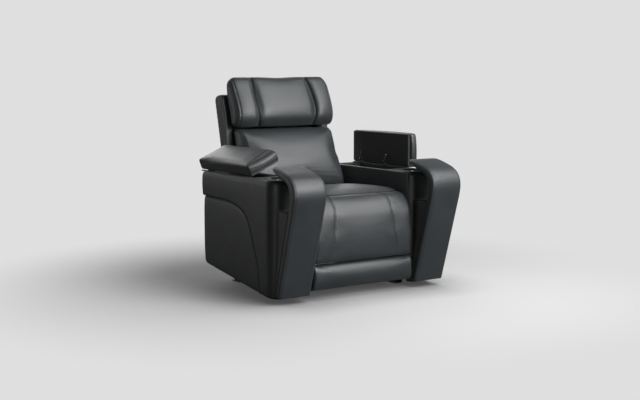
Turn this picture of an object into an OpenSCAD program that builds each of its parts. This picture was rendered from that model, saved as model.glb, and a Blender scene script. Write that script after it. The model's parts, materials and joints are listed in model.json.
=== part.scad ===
// Powered cinema recliner seat with two storage arms, a lifting leg rest with a sliding foot pad,
// a reclining back and a tilting headrest.
// Millimetres. The sitter faces -Y, +Z is up, and the origin is the centre of the four floor bolts.
// Left is the -X side. The left lid stands ajar and the right lid stands fully open.

/* [Arms] */
// Clear width between the two arms
seat_gap_w = 622; // [600:1:680]
// Width of one arm
arm_w = 195; // [185:1:215]
// Height of the arm top above the floor
arm_top_z = 587; // [570:1:610]
// Place of the arm front face
arm_front_y = -425; // [-440:1:-415]
// Place of the arm rear face
arm_rear_y = 254; // [246:1:262]
// Height of the arm's bottom edge at its front
arm_low_front_z = 18; // [12:1:30]
// Height of the arm's bottom edge at its rear
arm_low_rear_z = 115; // [95:1:130]
// Radius of the arm's front corners, seen from above
arm_corner_r = 58; // [45:1:64]
// Radius of the arm's lower rear corner
arm_heel_r = 42; // [25:1:60]
// Thickness of the padded outer skin
arm_skin_t = 20; // [16:1:22]
// Thickness of the inner skin, beside the seat
inner_skin_t = 12; // [9:1:14]
// Thickness of the plywood boards
board_t = 15; // [12:1:18]
// How far the lower panel lies inside the upper band
panel_set_in = 4; // [2:1:6]
// How far the upper band overhangs the lower panel at the rear
band_overhang = 13; // [8:1:16]
// Radius of the band's top edge
band_top_r = 12; // [6:1:16]
// Thickness of the top deck around the cup holder
deck_t = 18; // [12:1:22]
// Length of the top deck, front to back
deck_l = 210; // [200:1:216]

/* [Arm lids] */
// Length of a lid
lid_l = 501; // [470:1:505]
// Place of the lid's front end
lid_front_y = -211; // [-211:1:-200]
// Thickness of a lid with its board
lid_t = 52; // [44:1:58]
// Thickness of the lid board
lid_board_t = 12; // [9:1:14]
// How far a closed lid overhangs the arm's inner face
lid_overhang = 5; // [2:1:8]
// Crown of the lid's padded top
lid_crown = 5; // [2:1:7]
// How far the left lid stands open
lid_left_deg = 24; // [0:1:60]
// Opening angle of a lid at its stop
lid_open_deg = 90; // [80:1:90]
// Radius of the lid hinge's barrel
barrel_r = 4; // [3.5:0.5:4]
// Radius of the lid hinge's pin
lid_pin_r = 2; // [1.5:0.5:2]
// Thickness of the hinge leaves
leaf_t = 2; // [1.5:0.5:2]
// Width of the leaf that shows on the lid
leaf_w = 20; // [14:1:26]
// Length of the leaf that shows on the lid
leaf_l = 36; // [30:1:44]

/* [Front straps] */
// Width of a strap
strap_w = 183; // [170:1:185]
// Place of the strap's rear tip
strap_tip_y = -400; // [-405:1:-395]
// Place of the strap's knee, its front-most point
strap_knee_y = -614; // [-620:1:-600]
// Height of the strap's lower end
strap_low_z = 30; // [24:1:36]
// Height of the strap's tip
strap_tip_z = 650; // [646:1:660]
// Thickness of the strap
strap_t = 38; // [32:1:42]
// Radius of the strap's long edges
strap_edge_r = 15; // [10:1:17]
// How far the filler lies inside the strap's sides
filler_set_in = 4; // [2:1:8]
// Height of the filler's top edge
filler_top_z = 447; // [430:1:455]
// Width of the wooden block that carries the strap
block_w = 130; // [100:1:150]

/* [Cup holders] */
// Radius of the cup holder's bore
cup_r = 44; // [38:1:46]
// Depth of the cup holder's bore
cup_depth = 72; // [55:1:85]
// Wall of the cup holder
cup_wall = 2.5; // [2:0.5:3]
// Width of the cup holder's flange
cup_rim_w = 4.5; // [4:0.5:6]
// Thickness of the cup holder's flange
cup_rim_t = 3; // [2:0.5:4]
// Place of the cup holder
cup_y = -330; // [-336:1:-326]

/* [Storage bins] */
// Depth of a storage bin
bin_depth = 200; // [120:1:240]
// Wall of a storage bin
bin_wall = 3; // [2:0.5:4]

/* [Seat] */
// Width of the seat, leg and foot cushions
cushion_w = 592; // [570:1:596]
// Height of the seat frame's top
seat_frame_z = 372; // [366:1:376]
// Highest point of the seat cushion
seat_crown_z = 516; // [508:1:522]
// Height of the seat cushion at its rear
seat_rear_z = 494; // [486:1:500]
// Place of the seat cushion's rear
seat_rear_y = 72; // [60:1:74]
// Extra rise of the seat cushion at its middle
seat_crown = 8; // [4:1:10]
// Height of the seat frame rails
seat_rail_h = 47; // [38:1:50]
// Thickness of the seat frame rails
seat_rail_t = 25; // [20:1:28]
// Place of the seat frame's front
seat_frame_front_y = -262; // [-266:1:-250]
// Place of the seat frame's rear
seat_frame_rear_y = 125; // [110:1:128]
// Number of spring wires under the seat
spring_count = 5; // [4:1:6]
// Radius of a spring wire
spring_r = 2; // [1.5:0.5:2]
// Swing of a spring wire to each side
spring_swing = 24; // [16:1:28]

/* [Leg rest] */
// Place of the leg rest's hinge, front to back
leg_hinge_y = -382; // [-384:1:-380]
// Height of the leg rest's hinge
leg_hinge_z = 392; // [390:1:395]
// Radius of the front roll
roll_r = 98; // [94:1:100]
// Gap between the roll and the seat cushion
roll_gap = 3; // [2:0.5:4]
// Height of the leg cushion's lower edge
leg_low_z = 181; // [178:1:190]
// Bulge of the leg cushion's front
leg_bulge = 5; // [2:1:7]
// Thickness of the leg cushion in front of its board
leg_pad_t = 49; // [46:1:50]
// Distance of the two leg seams from the middle, at the top
leg_seam_top = 170; // [150:1:180]
// Distance of the two leg seams from the middle, at the bottom
leg_seam_low = 195; // [185:1:205]

/* [Foot pad] */
// Height of the foot pad's lower edge
foot_low_z = 46; // [40:1:56]
// Gap between the leg cushion and the foot pad
foot_gap = 9; // [6:1:12]
// How far the foot pad slides out
foot_travel = 120; // [80:1:130]
// Width of the foot rails
foot_rail_w = 18; // [14:1:20]

/* [Back] */
// Place of the back's pivot, front to back
pivot_y = 170; // [165:1:175]
// Height of the back's pivot
pivot_z = 350; // [346:1:354]
// Lean of the back at rest
back_lean = 13.3; // [12.5:0.1:14]
// Distance from the pivot up to the back's top
back_top_h = 652; // [640:1:660]
// Distance from the pivot down to the back's lower end
back_tail_h = 70; // [50:1:75]
// Distance from the pivot to the front of the back frame
frame_d = 35; // [34:1:37]
// Distance from the pivot to the rear of the back
shell_d = 118; // [114:1:122]
// Width of the back above the arms
shell_w = 650; // [640:1:654]
// Width of the back between the arms
tail_w = 596; // [590:1:598]
// Distance from the pivot up to where the back widens
wing_h = 365; // [362:1:375]
// Thickness of the back's padded shell
shell_t = 18; // [14:1:20]
// Radius of the back's top edges
shell_top_r = 28; // [18:1:34]
// Width of the back posts
post_w = 25; // [20:1:30]
// Front-most depth of the back cushion before its frame
back_pad_t = 142; // [130:1:146]
// Extra rise of the back cushion at its middle
back_crown = 10; // [4:1:14]
// Thickness of the webbing behind the back cushion
web_t = 2; // [1:0.5:2.5]

/* [Headrest] */
// Width of the headrest
head_w = 626; // [600:1:640]
// Place of the headrest's hinge, front to back
head_hinge_y = 250; // [248:1:252]
// Height of the headrest's hinge
head_hinge_z = 845; // [843:1:848]
// Radius of the roll at the headrest's bottom
head_roll_r = 45; // [42:1:46]
// Height of the headrest above its hinge
head_h = 217; // [205:1:225]
// Depth of the headrest
head_t = 98; // [92:1:102]
// Depth of the two sewn channels
channel_depth = 15; // [8:1:18]
// Width of the two sewn channels
channel_w = 14; // [10:1:18]
// Distance of the two channels from the middle
channel_x = 170; // [150:1:185]
// Outward bow of the two channels
channel_bow = 7; // [0:1:12]
// Extra rise of the headrest at its middle
head_crown = 8; // [4:1:12]

/* [Base] */
// Distance between the floor bolts, side to side
bolt_gap_x = 530; // [520:1:540]
// Distance between the floor bolts, front to back
bolt_gap_y = 400; // [380:1:410]
// Radius of the floor bolt holes
bolt_hole_r = 5.5; // [4:0.5:6.5]
// Thickness of the foot plates
foot_plate_t = 6; // [5:1:8]
// Length of the foot plates, front to back
foot_plate_l = 70; // [50:1:80]
// Width of the base rails
rail_w = 40; // [36:1:44]
// Height of the base rails
rail_h = 40; // [36:1:42]
// Wall of the base rails and cross tubes
tube_wall = 2.5; // [2:0.5:3]
// Thickness of the mechanism plates
plate_t = 4; // [3:0.5:5]
// Radius of the pivot pins
pin_r = 6; // [5:0.5:7]
// Running clearance of pins and rods
fit_gap = 0.05; // [0.03:0.01:0.08]

/* [Drives] */
// Radius of a drive's push rod
rod_r = 7; // [6:0.5:7]
// Radius of a drive's outer tube
drive_tube_r = 11; // [10:0.5:12]
// Size of a drive's gear case
case_size = 42; // [36:1:42]
// Radius of a drive's motor
motor_r = 17; // [14:1:18]
// Length of a drive's motor
motor_l = 78; // [60:1:90]
// Radius of a drive's end pins
drive_pin_r = 5; // [4:0.5:5]

/* [Switches] */
// Radius of a push button
button_r = 8; // [6:0.5:9]
// Distance between the push buttons
button_pitch = 24; // [22:1:26]
// How far a push button stands out of its plate
button_proud = 3; // [2.5:0.5:3.5]
// Place of the middle of the switch plate
switch_y = -140; // [-150:1:-120]
// Height of the middle of the switch plate
switch_z = 550; // [540:1:555]

/* [Hidden] */
$fn = 48;

// Overrun of every cut
cut = 1;
// Gap between a soft piece and what it rests on
soft_gap = 0.3;
// Gap between pieces that lie side by side without touching
side_gap = 0.5;

arm_in_x = seat_gap_w / 2;
arm_out_x = arm_in_x + arm_w;
arm_mid_x = (arm_in_x + arm_out_x) / 2;
arm_l = arm_rear_y - arm_front_y;
skin_in_x = arm_out_x - arm_skin_t;
inner_board_x = arm_in_x + inner_skin_t;
outer_board_x = skin_in_x - board_t;
deck_rear_y = arm_front_y + deck_l;
cushion_half = cushion_w / 2;

// Helpers

function unit(v) = v / norm(v);
function polar(centre, r, a) = [centre[0] + r * cos(a), centre[1] + r * sin(a)];
function arc(centre, r, a0, a1, n) = [for (i = [0:n]) polar(centre, r, a0 + (a1 - a0) * i / n)];

// A smooth curve through hand-chosen points, given as n points
function between(a, b, c, d, t) =
    (2 * b + (c - a) * t + (2 * a - 5 * b + 4 * c - d) * t * t + (3 * b - a - 3 * c + d) * t * t * t) / 2;
function smooth(path, n) = [
    for (k = [0:n - 1])
        let (u = k * (len(path) - 1) / (n - 1), i = min(floor(u), len(path) - 2), last = len(path) - 1)
        between(path[max(i - 1, 0)], path[i], path[i + 1], path[min(i + 2, last)], u - i)
];
function reverse(list) = [for (i = [len(list) - 1:-1:0]) list[i]];
function place(shares, origin, size) = [
    for (s = shares) [origin[0] + s[0] * size[0], origin[1] + s[1] * size[1]]
];

// Places across a cushion: close together at its rounded ends and around a channel
edge_shares = [1, 0.8, 0.35, 0];
channel_shares = [-2.2, -1, 0, 1, 2.2];
function plain_rings(half, r) = let (
    ends = [for (s = edge_shares) half - r * (1 - s)],
    side = concat([half / 3, half * 2 / 3], reverse(ends))
) concat([for (x = reverse(side)) -x], [0], side);
function channel_rings(half, r, at, w) = let (
    ends = [for (s = edge_shares) half - r * (1 - s)],
    side = concat([at / 2], [for (s = channel_shares) at + s * w], [(at + half) / 2], reverse(ends))
) concat([for (x = reverse(side)) -x], [0], side);

// How far a ring is drawn in near a cushion's end, and how much it swells in between
function drawn_in(x, half, r) =
    abs(x) < half - r ? 0 : r * (1 - sqrt(max(0, 1 - pow((abs(x) - half + r) / r, 2))));
function swell(x, half) = 1 - pow(x / half, 2);
function groove(x, at, w) = exp(-pow((abs(x) - at) / w, 2));
function loop_in(loop, i) = let (
    n = len(loop),
    d = loop[(i + 1) % n] - loop[(i + n - 1) % n]
) unit([d[1], -d[0]]);
function length_of(path) = let (steps = [for (i = [1:len(path) - 1]) norm(path[i] - path[i - 1])])
    steps * [for (s = steps) 1];
function along(path, u) = let (i = min(floor(u), len(path) - 2)) path[i] + (path[i + 1] - path[i]) * (u - i);

// A padded piece that runs across X: a front and a rear path of as many points bound its section.
// Its ends are rounded by edge_r, its front swells by crown, and channels at +-at are sewn in.
// shift gives each channel's place along the path, so that a channel may curve.
module padded(front, rear, half, edge_r, crown, at = 0, w = 0, depth = 0, shift = []) {
    n = len(front);
    loop = concat(front, reverse(rear));
    m = 2 * n;
    rings = depth > 0 ? channel_rings(half, edge_r, at, w) : plain_rings(half, edge_r);
    limit_share = 0.4;
    points = [
        for (x = rings)
            let (
                in = drawn_in(x, half, edge_r),
                slide = min(in * (n - 1) / length_of(front), 1),
                places = [for (k = [0:n - 1]) slide + k * (n - 1 - 2 * slide) / (n - 1)]
            )
            for (i = [0:m - 1])
                let (
                    k = i < n ? i : m - 1 - i,
                    here = along(i < n ? front : rear, places[k]),
                    there = along(i < n ? rear : front, places[k]),
                    thick = norm(there - here),
                    weight = i < n ? sin(180 * k / (n - 1)) : 0,
                    sewn = depth > 0 ? depth * groove(x, at, w) * sqrt(weight) : 0,
                    out = crown * weight * swell(x, half),
                    p = here + (there - here) * min(in / thick, limit_share)
                        + loop_in(loop, i) * (sewn - out),
                    full = at == 0 ? 0 : abs(x) > at ? (half - abs(x)) / (half - at) : abs(x) / at,
                    slip = len(shift) > 0 ? shift[k] * full * sign(x) : 0
                )
                [x + slip, p[0], p[1]]
    ];
    sides = [
        for (r = [0:len(rings) - 2]) for (i = [0:m - 1])
            let (a = r * m + i, b = r * m + (i + 1) % m)
            each [[a, b, b + m], [a, b + m, a + m]]
    ];
    top = (len(rings) - 1) * m;
    caps = [
        for (i = [0:n - 2])
            let (j = i + 1, k = m - 1 - i, l = m - 2 - i)
            each [
                [top + i, top + j, top + l], [top + i, top + l, top + k],
                [l, j, i], [k, l, i]
            ]
    ];
    polyhedron(points, concat(sides, caps), convexity = 6);
}

// A box between two corners
module box(low, high) {
    translate(low) cube(high - low);
}

// A flat outline in Y and Z, made solid from x0 to x1
module across(x0, x1) {
    translate([x0, 0, 0]) rotate([90, 0, 90]) linear_extrude(x1 - x0, convexity = 8) children();
}

// A round bar along X
module bar(x0, x1, r, at) {
    translate([x0, at[0], at[1]]) rotate([0, 90, 0]) cylinder(r = r, h = x1 - x0);
}

module both_sides() {
    children();
    mirror([1, 0, 0]) children();
}

module on_left() {
    mirror([1, 0, 0]) children();
}

// Base: two rails on four foot plates, two cross tubes and the plates of the mechanism

rail_in_x = inner_board_x + board_t + cut + cut - rail_w;
rail_out_x = rail_in_x + rail_w;
rail_low_z = foot_plate_t;
rail_top_z = rail_low_z + rail_h;
rail_front_y = leg_hinge_y + rail_w;
rail_rear_y = arm_rear_y - rail_w;
cross_front_y = -bolt_gap_y / 2;
cross_rear_y = pivot_y;
cross_h = rail_h * 3 / 4;
foot_in_x = bolt_gap_x / 2 - foot_plate_l / 3;

module base_rails() {
    color("dimgray") both_sides() difference() {
        box([rail_in_x, rail_front_y, rail_low_z], [rail_out_x, rail_rear_y, rail_top_z]);
        box([rail_in_x + tube_wall, rail_front_y - cut, rail_low_z + tube_wall],
            [rail_out_x - tube_wall, rail_rear_y + cut, rail_top_z - tube_wall]);
    }
}

module cross_tube(y) {
    difference() {
        box([-rail_in_x, y - cross_h / 2, rail_low_z], [rail_in_x, y + cross_h / 2, rail_low_z + cross_h]);
        box([-rail_in_x - cut, y - cross_h / 2 + tube_wall, rail_low_z + tube_wall],
            [rail_in_x + cut, y + cross_h / 2 - tube_wall, rail_low_z + cross_h - tube_wall]);
    }
}

module cross_tubes() {
    color("dimgray") {
        cross_tube(cross_front_y + cross_h);
        cross_tube(cross_rear_y - cross_h / 2);
    }
}

module foot_plates() {
    color("gray") both_sides() for (y = [-bolt_gap_y / 2, bolt_gap_y / 2]) difference() {
        box([foot_in_x, y - foot_plate_l / 2, 0], [rail_out_x, y + foot_plate_l / 2, foot_plate_t]);
        translate([bolt_gap_x / 2, y, -cut]) cylinder(r = bolt_hole_r, h = foot_plate_t + cut + cut);
    }
}

plate_in_x = cushion_half + plate_t;
plate_out_x = plate_in_x + plate_t;
hinge = [leg_hinge_y, leg_hinge_z];
pivot = [pivot_y, pivot_z];
eye_r = pin_r * 3.5;
frame_low_z = seat_frame_z - seat_rail_h;
plate_front_y = seat_frame_front_y + seat_rail_t;
bolt_r = 4;
bolt_head_r = 6.5;
bolt_head_t = 3;
bolt_ys = [
    seat_frame_front_y + seat_rail_h, (seat_frame_front_y + seat_frame_rear_y) / 2,
    seat_frame_rear_y - seat_rail_h
];
bolt_z = seat_frame_z - seat_rail_h / 2;

module mechanism_plates() {
    color("dimgray") both_sides() difference() {
        across(plate_in_x, plate_out_x) {
            polygon([
                [plate_front_y, rail_top_z], [cross_rear_y, rail_top_z],
                [pivot[0] + eye_r, pivot[1]], [pivot[0], pivot[1] + eye_r],
                [seat_frame_rear_y, seat_frame_z], [seat_frame_front_y - seat_rail_h, seat_frame_z],
                [hinge[0], hinge[1] + eye_r], [hinge[0] - eye_r, hinge[1]],
                [seat_frame_front_y - seat_rail_h - seat_rail_t, frame_low_z],
                [seat_frame_front_y, frame_low_z - seat_rail_h]
            ]);
            translate(hinge) circle(r = eye_r);
            translate(pivot) circle(r = eye_r);
        }
        for (at = [hinge, pivot]) bar(plate_in_x - cut, plate_out_x + cut, pin_r, at);
        for (y = bolt_ys) bar(plate_in_x - cut, plate_out_x + cut, bolt_r, [y, bolt_z]);
    }
}

leg_arm_in_x = cushion_half - eye_r / 1.75;
leg_arm_t = 6;
bracket_in_x = tail_w / 2 - shell_t;
pin_head_t = 3;
crossbar_wall = 3.5;
crossbar_r = pin_r * 2 + tube_wall;
crossbar_bore_r = crossbar_r - crossbar_wall;

// Shoulder pins: a head outside the plate, a shoulder up to the turning piece and a long pin
module hinge_pin(at, turning_x, turning_t) {
    bar(plate_out_x, plate_out_x + pin_head_t, pin_r * 1.7, at);
    bar(plate_in_x, plate_out_x, pin_r, at);
    bar(turning_x + turning_t + side_gap, plate_in_x, pin_r * 1.5, at);
    bar(turning_x - pin_r, turning_x + turning_t + side_gap, pin_r, at);
}

module hinge_pins() {
    color("silver") both_sides() {
        hinge_pin(hinge, leg_arm_in_x, leg_arm_t);
        hinge_pin(pivot, bracket_in_x, leg_arm_t);
    }
}

// Seat: a wooden frame with spring wires, and the cushion on it

module seat_frame() {
    color("burlywood") {
        both_sides() difference() {
            box([plate_in_x - seat_rail_t, seat_frame_front_y, frame_low_z],
                [plate_in_x, seat_frame_rear_y, seat_frame_z]);
            for (y = bolt_ys) bar(plate_in_x - seat_rail_t - cut, plate_in_x + cut, bolt_r, [y, bolt_z]);
        }
        for (y = [seat_frame_front_y, seat_frame_rear_y - seat_rail_t])
            box([-plate_in_x + seat_rail_t, y, frame_low_z],
                [plate_in_x - seat_rail_t, y + seat_rail_t, seat_frame_z]);
    }
}

module frame_bolts() {
    color("silver") both_sides() for (y = bolt_ys) {
        bar(plate_in_x - seat_rail_t, plate_out_x, bolt_r, [y, bolt_z]);
        translate([plate_out_x, y, bolt_z]) rotate([0, 90, 0])
            cylinder(r = bolt_head_r, h = bolt_head_t, $fn = 6);
    }
}

// One wire runs front to back in even waves
wire_waves = 5;
wire_steps = 6;
wire_sides = 6;
wire_front_y = seat_frame_front_y + seat_rail_t + soft_gap;
wire_rear_y = seat_frame_rear_y - seat_rail_t - soft_gap;
wire_z = seat_frame_z - spring_r - side_gap;

module spring_wire(x) {
    n = wire_waves * wire_steps;
    points = [
        for (i = [0:n]) for (j = [0:wire_sides - 1])
            let (
                y = wire_front_y + (wire_rear_y - wire_front_y) * i / n,
                slope = spring_swing * cos(360 * i / wire_steps) * 2 * PI * wire_waves
                    / (wire_rear_y - wire_front_y),
                side = unit([1, -slope]),
                a = 360 * j / wire_sides
            )
            [x + spring_swing * sin(360 * i / wire_steps) + spring_r * cos(a) * side[0],
             y + (i == 0 || i == n ? 0 : spring_r * cos(a) * side[1]),
             wire_z + spring_r * sin(a)]
    ];
    sides = [
        for (i = [0:n - 1]) for (j = [0:wire_sides - 1])
            let (a = i * wire_sides + j, b = i * wire_sides + (j + 1) % wire_sides)
            each [[a, b, a + wire_sides], [b, b + wire_sides, a + wire_sides]]
    ];
    last = n * wire_sides;
    caps = [
        for (j = [1:wire_sides - 2]) each [[0, j + 1, j], [last, last + j, last + j + 1]]
    ];
    polyhedron(points, concat(sides, caps), convexity = 10);
}

module seat_springs() {
    gap = 2 * (plate_in_x - seat_rail_t) / (spring_count + 1);
    color("gray") for (i = [1:spring_count]) spring_wire(-plate_in_x + seat_rail_t + i * gap);
}

seat_n = 15;
seat_edge_r = 20;
seat_nose_z = leg_hinge_z + roll_r + roll_gap;
// Shares of the way from the nose to the rear, and from the nose's height up to the crown
seat_top_shares = [
    [0, 0], [0.02, 0.3], [0.06, 0.82], [0.14, 1], [0.25, 0.98], [0.42, 0.7], [0.6, 0.4],
    [0.78, 0.16], [0.92, 0], [0.98, -0.3]
];

module seat_cushion() {
    r = roll_r + roll_gap;
    nose = polar(hinge, r, 80);
    top = concat(
        smooth(place(seat_top_shares, nose, [seat_rear_y - nose[0], seat_crown_z - nose[1]]), seat_n - 1),
        [[seat_rear_y, seat_rear_z - seat_edge_r]]
    );
    low_z = seat_frame_z + soft_gap;
    concave = arc(hinge, r, 70, 8, 7);
    flat_front = hinge[0] + r + soft_gap;
    low = concat(concave, [
        for (i = [0:seat_n - 9]) [flat_front + (seat_rear_y - flat_front) * i / (seat_n - 9), low_z]
    ]);
    color("slategray") padded(top, low, cushion_half, seat_edge_r, seat_crown);
}

// Leg rest: a roll around its hinge that goes on into the front cushion

leg_n = 16;
leg_seam_w = 9;
leg_seam_depth = 6;
leg_board_front_y = leg_hinge_y - roll_r + leg_pad_t + soft_gap;
leg_rail_y = leg_board_front_y + board_t;
roll_in_r = roll_r - leg_pad_t;

module leg_cushion() {
    front_y = hinge[0] - roll_r;
    low = smooth([
        [front_y + leg_pad_t / 4, leg_low_z], [front_y, leg_low_z + leg_pad_t / 4],
        [front_y - leg_bulge / 2, (leg_low_z * 3 + hinge[1]) / 4],
        [front_y - leg_bulge, (leg_low_z + hinge[1]) / 2],
        [front_y - leg_bulge / 2, (leg_low_z + hinge[1] * 3) / 4]
    ], 9);
    outer = concat(low, arc(hinge, roll_r, 180, 78, leg_n - 10));
    rear_y = front_y + leg_pad_t;
    inner = concat(
        [for (i = [0:8]) [rear_y, leg_low_z + (hinge[1] - leg_low_z) * i / 9]],
        arc(hinge, roll_in_r, 180, 78, leg_n - 10)
    );
    shift = [for (i = [0:leg_n - 1])
        leg_seam_low - leg_seam_top - (leg_seam_low - leg_seam_top) * min(1, i * 1.5 / leg_n)];
    color("slategray")
        padded(outer, inner, cushion_half, seat_edge_r, 0, leg_seam_top, leg_seam_w, leg_seam_depth, shift);
}

module leg_board() {
    color("burlywood")
        box([-leg_arm_in_x - leg_arm_t, leg_board_front_y, leg_low_z + leg_arm_t],
            [leg_arm_in_x + leg_arm_t, leg_rail_y, leg_hinge_z]);
}

foot_rail_t = 6;
foot_rail_x = leg_arm_in_x - foot_rail_t * 2.5;
guide_t = 3;
guide_l = 22;
foot_rail_top_z = leg_hinge_z - crossbar_r - foot_travel / 3;

module rail_guide(z) {
    difference() {
        box([foot_rail_x - guide_t, leg_rail_y, z], [foot_rail_x + foot_rail_t + guide_t,
            leg_rail_y + foot_rail_w + guide_t + soft_gap + soft_gap, z + guide_l]);
        box([foot_rail_x - soft_gap, leg_rail_y - cut, z - cut], [foot_rail_x + foot_rail_t + soft_gap,
            leg_rail_y + foot_rail_w + soft_gap + soft_gap, z + guide_l + cut]);
    }
}

module leg_arms() {
    color("dimgray") both_sides() {
        difference() {
            across(leg_arm_in_x, leg_arm_in_x + leg_arm_t) {
                polygon([
                    [leg_rail_y, leg_low_z + leg_arm_t], [leg_rail_y + foot_rail_w, leg_low_z + leg_arm_t],
                    [hinge[0] + eye_r / 2, hinge[1] - eye_r], [hinge[0] + eye_r, hinge[1]],
                    [leg_rail_y, hinge[1]]
                ]);
                translate(hinge) circle(r = eye_r);
            }
            bar(leg_arm_in_x - cut, leg_arm_in_x + leg_arm_t + cut, pin_r + fit_gap, hinge);
        }
        rail_guide(leg_low_z + guide_l);
        rail_guide(foot_rail_top_z - guide_l * 2);
    }
}

// A turning tube between the two arms, with the crank beside its drive's push rod
leg_crank = [hinge[0] + crossbar_r * 2, hinge[1] - crossbar_r * 5.5];
crank_in_x = rod_r + cut;
crank_t = 6;

module crank(at, pin_at, x) {
    along = unit(pin_at - at);
    aside = [along[1], -along[0]];
    difference() {
        across(x, x + crank_t) {
            polygon([
                at + aside * crossbar_r, pin_at + aside * drive_pin_r * 2,
                pin_at - aside * drive_pin_r * 2, at - aside * crossbar_r
            ]);
            translate(pin_at) circle(r = drive_pin_r * 2);
        }
        bar(x - cut, x + crank_t + cut, crossbar_r - side_gap, at);
    }
    bar(x + crank_t, x + crank_t + pin_head_t, drive_pin_r * 1.6, pin_at);
}

module crossbar(at, half, pin_at, x) {
    difference() {
        bar(-half, half, crossbar_r, at);
        bar(-half - cut, half + cut, crossbar_bore_r, at);
    }
    crank(at, pin_at, x);
}

module leg_crossbar() {
    color("dimgray") crossbar(hinge, leg_arm_in_x, leg_crank, crank_in_x);
}

// Foot pad: slides along the leg rest on two flat rails

foot_n = 7;
foot_top_z = leg_low_z - foot_gap;
// Shares of the pad's depth in front of the board, and of its height
foot_front_shares = [
    [0.12, 0], [0.5, 0.03], [0.86, 0.15], [1, 0.36], [1.02, 0.6], [0.98, 0.82], [0.78, 0.96],
    [0.4, 1], [0.12, 1]
];

module foot_cushion() {
    rear_y = leg_hinge_y - roll_r + leg_pad_t;
    h = foot_top_z - foot_low_z;
    front = smooth(place(foot_front_shares, [rear_y, foot_low_z], [-leg_pad_t, h]), foot_n * 2 - 1);
    rear = [for (i = [0:foot_n * 2 - 2]) [rear_y, foot_low_z + h * i / (foot_n * 2 - 2)]];
    color("slategray") padded(front, rear, cushion_half, seat_edge_r, leg_bulge);
}

module foot_board() {
    color("burlywood")
        box([-leg_arm_in_x, leg_board_front_y, foot_low_z + leg_arm_t],
            [leg_arm_in_x, leg_rail_y, foot_top_z - leg_arm_t]);
}

module foot_rails() {
    color("silver") both_sides()
        box([foot_rail_x, leg_rail_y + soft_gap, foot_low_z + leg_arm_t + leg_arm_t],
            [foot_rail_x + foot_rail_t, leg_rail_y + soft_gap + foot_rail_w, foot_rail_top_z]);
}

// Arms: plywood boxes in padded skins. Each module draws the right arm's piece.

void_rear_y = arm_rear_y - band_overhang - arm_skin_t;
void_front_y = arm_front_y + arm_skin_t;
board_front_y = void_front_y + board_t;
lid_ledge_z = arm_top_z - leaf_t - leaf_t;
low_slope = (arm_low_rear_z - arm_low_front_z) / arm_l;
board_lift = 6;

function low_z(y) = arm_low_front_z + low_slope * (y - arm_front_y);

module arm_plan() {
    translate([arm_in_x, arm_front_y + arm_corner_r]) square([arm_w, arm_l - arm_corner_r]);
    translate([arm_in_x + arm_corner_r, arm_front_y]) square([arm_w - 2 * arm_corner_r, arm_l]);
    for (x = [arm_in_x + arm_corner_r, arm_out_x - arm_corner_r])
        translate([x, arm_front_y + arm_corner_r]) circle(r = arm_corner_r);
}

module void_plan() {
    r = arm_corner_r - arm_skin_t;
    w = skin_in_x - arm_in_x + cut;
    l = void_rear_y - void_front_y;
    translate([arm_in_x - cut, void_front_y + r]) square([w, l - r]);
    translate([arm_in_x - cut, void_front_y]) square([w - r, l]);
    translate([skin_in_x - r, void_front_y + r]) circle(r = r);
}

// The arm's side outline: a rising bottom edge and a rounded heel
function side_outline(rear_y) = let (
    a = atan(low_slope),
    heel = [rear_y - arm_heel_r, low_z(rear_y - arm_heel_r) + arm_heel_r / cos(a)]
) concat(
    [[arm_front_y - cut, low_z(arm_front_y - cut)]],
    arc(heel, arm_heel_r, a - 90, 0, 8),
    [[rear_y, arm_top_z + cut], [arm_front_y - cut, arm_top_z + cut]]
);

// The seam between the upper band and the lower panel, in shares of the arm's length and height
seam_shares = [
    [0.155, -0.05], [0.168, 0.114], [0.193, 0.278], [0.247, 0.446], [0.302, 0.591], [0.356, 0.676],
    [0.427, 0.727], [0.514, 0.755], [0.613, 0.773], [0.8, 0.779], [1.1, 0.786]
];
seam_points = smooth(place(seam_shares, [arm_front_y, 0], [arm_l, arm_top_z]), 32);

module skin(rear_y, out_x) {
    difference() {
        intersection() {
            linear_extrude(arm_top_z, convexity = 6) arm_plan();
            across(arm_in_x - cut, out_x) polygon(side_outline(rear_y));
            children();
        }
        translate([0, 0, -cut]) linear_extrude(arm_top_z + cut + cut, convexity = 6) void_plan();
    }
}

module arm_band() {
    top_round = arc([arm_out_x - band_top_r, arm_top_z - band_top_r], band_top_r, 0, 90, 8);
    color("darkslategray") skin(arm_rear_y, arm_out_x + cut) {
        intersection() {
            across(arm_in_x - cut - cut, arm_out_x + cut + cut)
                polygon(concat(seam_points, [
                    [arm_rear_y + arm_l, arm_top_z * 2], [arm_front_y - arm_l, arm_top_z * 2],
                    [arm_front_y - arm_l, -arm_top_z]
                ]));
            translate([0, arm_rear_y + cut, 0]) rotate([90, 0, 0])
                linear_extrude(arm_l + cut + cut + cut)
                polygon(concat([[arm_in_x - arm_w, -cut], [arm_out_x, -cut]], top_round,
                    [[arm_in_x - arm_w, arm_top_z]]));
        }
    }
}

module arm_panel() {
    color("darkslategray") skin(arm_rear_y - band_overhang, arm_out_x - panel_set_in) {
        across(arm_in_x - cut - cut, arm_out_x + cut + cut)
            polygon(concat(seam_points, [[arm_rear_y + arm_l, -arm_top_z]]));
    }
}

switch_plate_t = 2;
button_count = 4;
button_room = (button_count - 1) * button_pitch;
switch_half_l = button_room / 2 + button_pitch;
switch_half_h = button_r * 2;
switch_depth = button_r * 2.5;
button_back = 4;

// The pocket and the box of the switches, in the left arm's inner face, drawn on the right
module switch_box(grow) {
    box([arm_in_x - grow, switch_y - switch_half_l - grow, switch_z - switch_half_h - grow],
        [arm_in_x + switch_depth + grow, switch_y + switch_half_l + grow, switch_z + switch_half_h + grow]);
}

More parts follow.
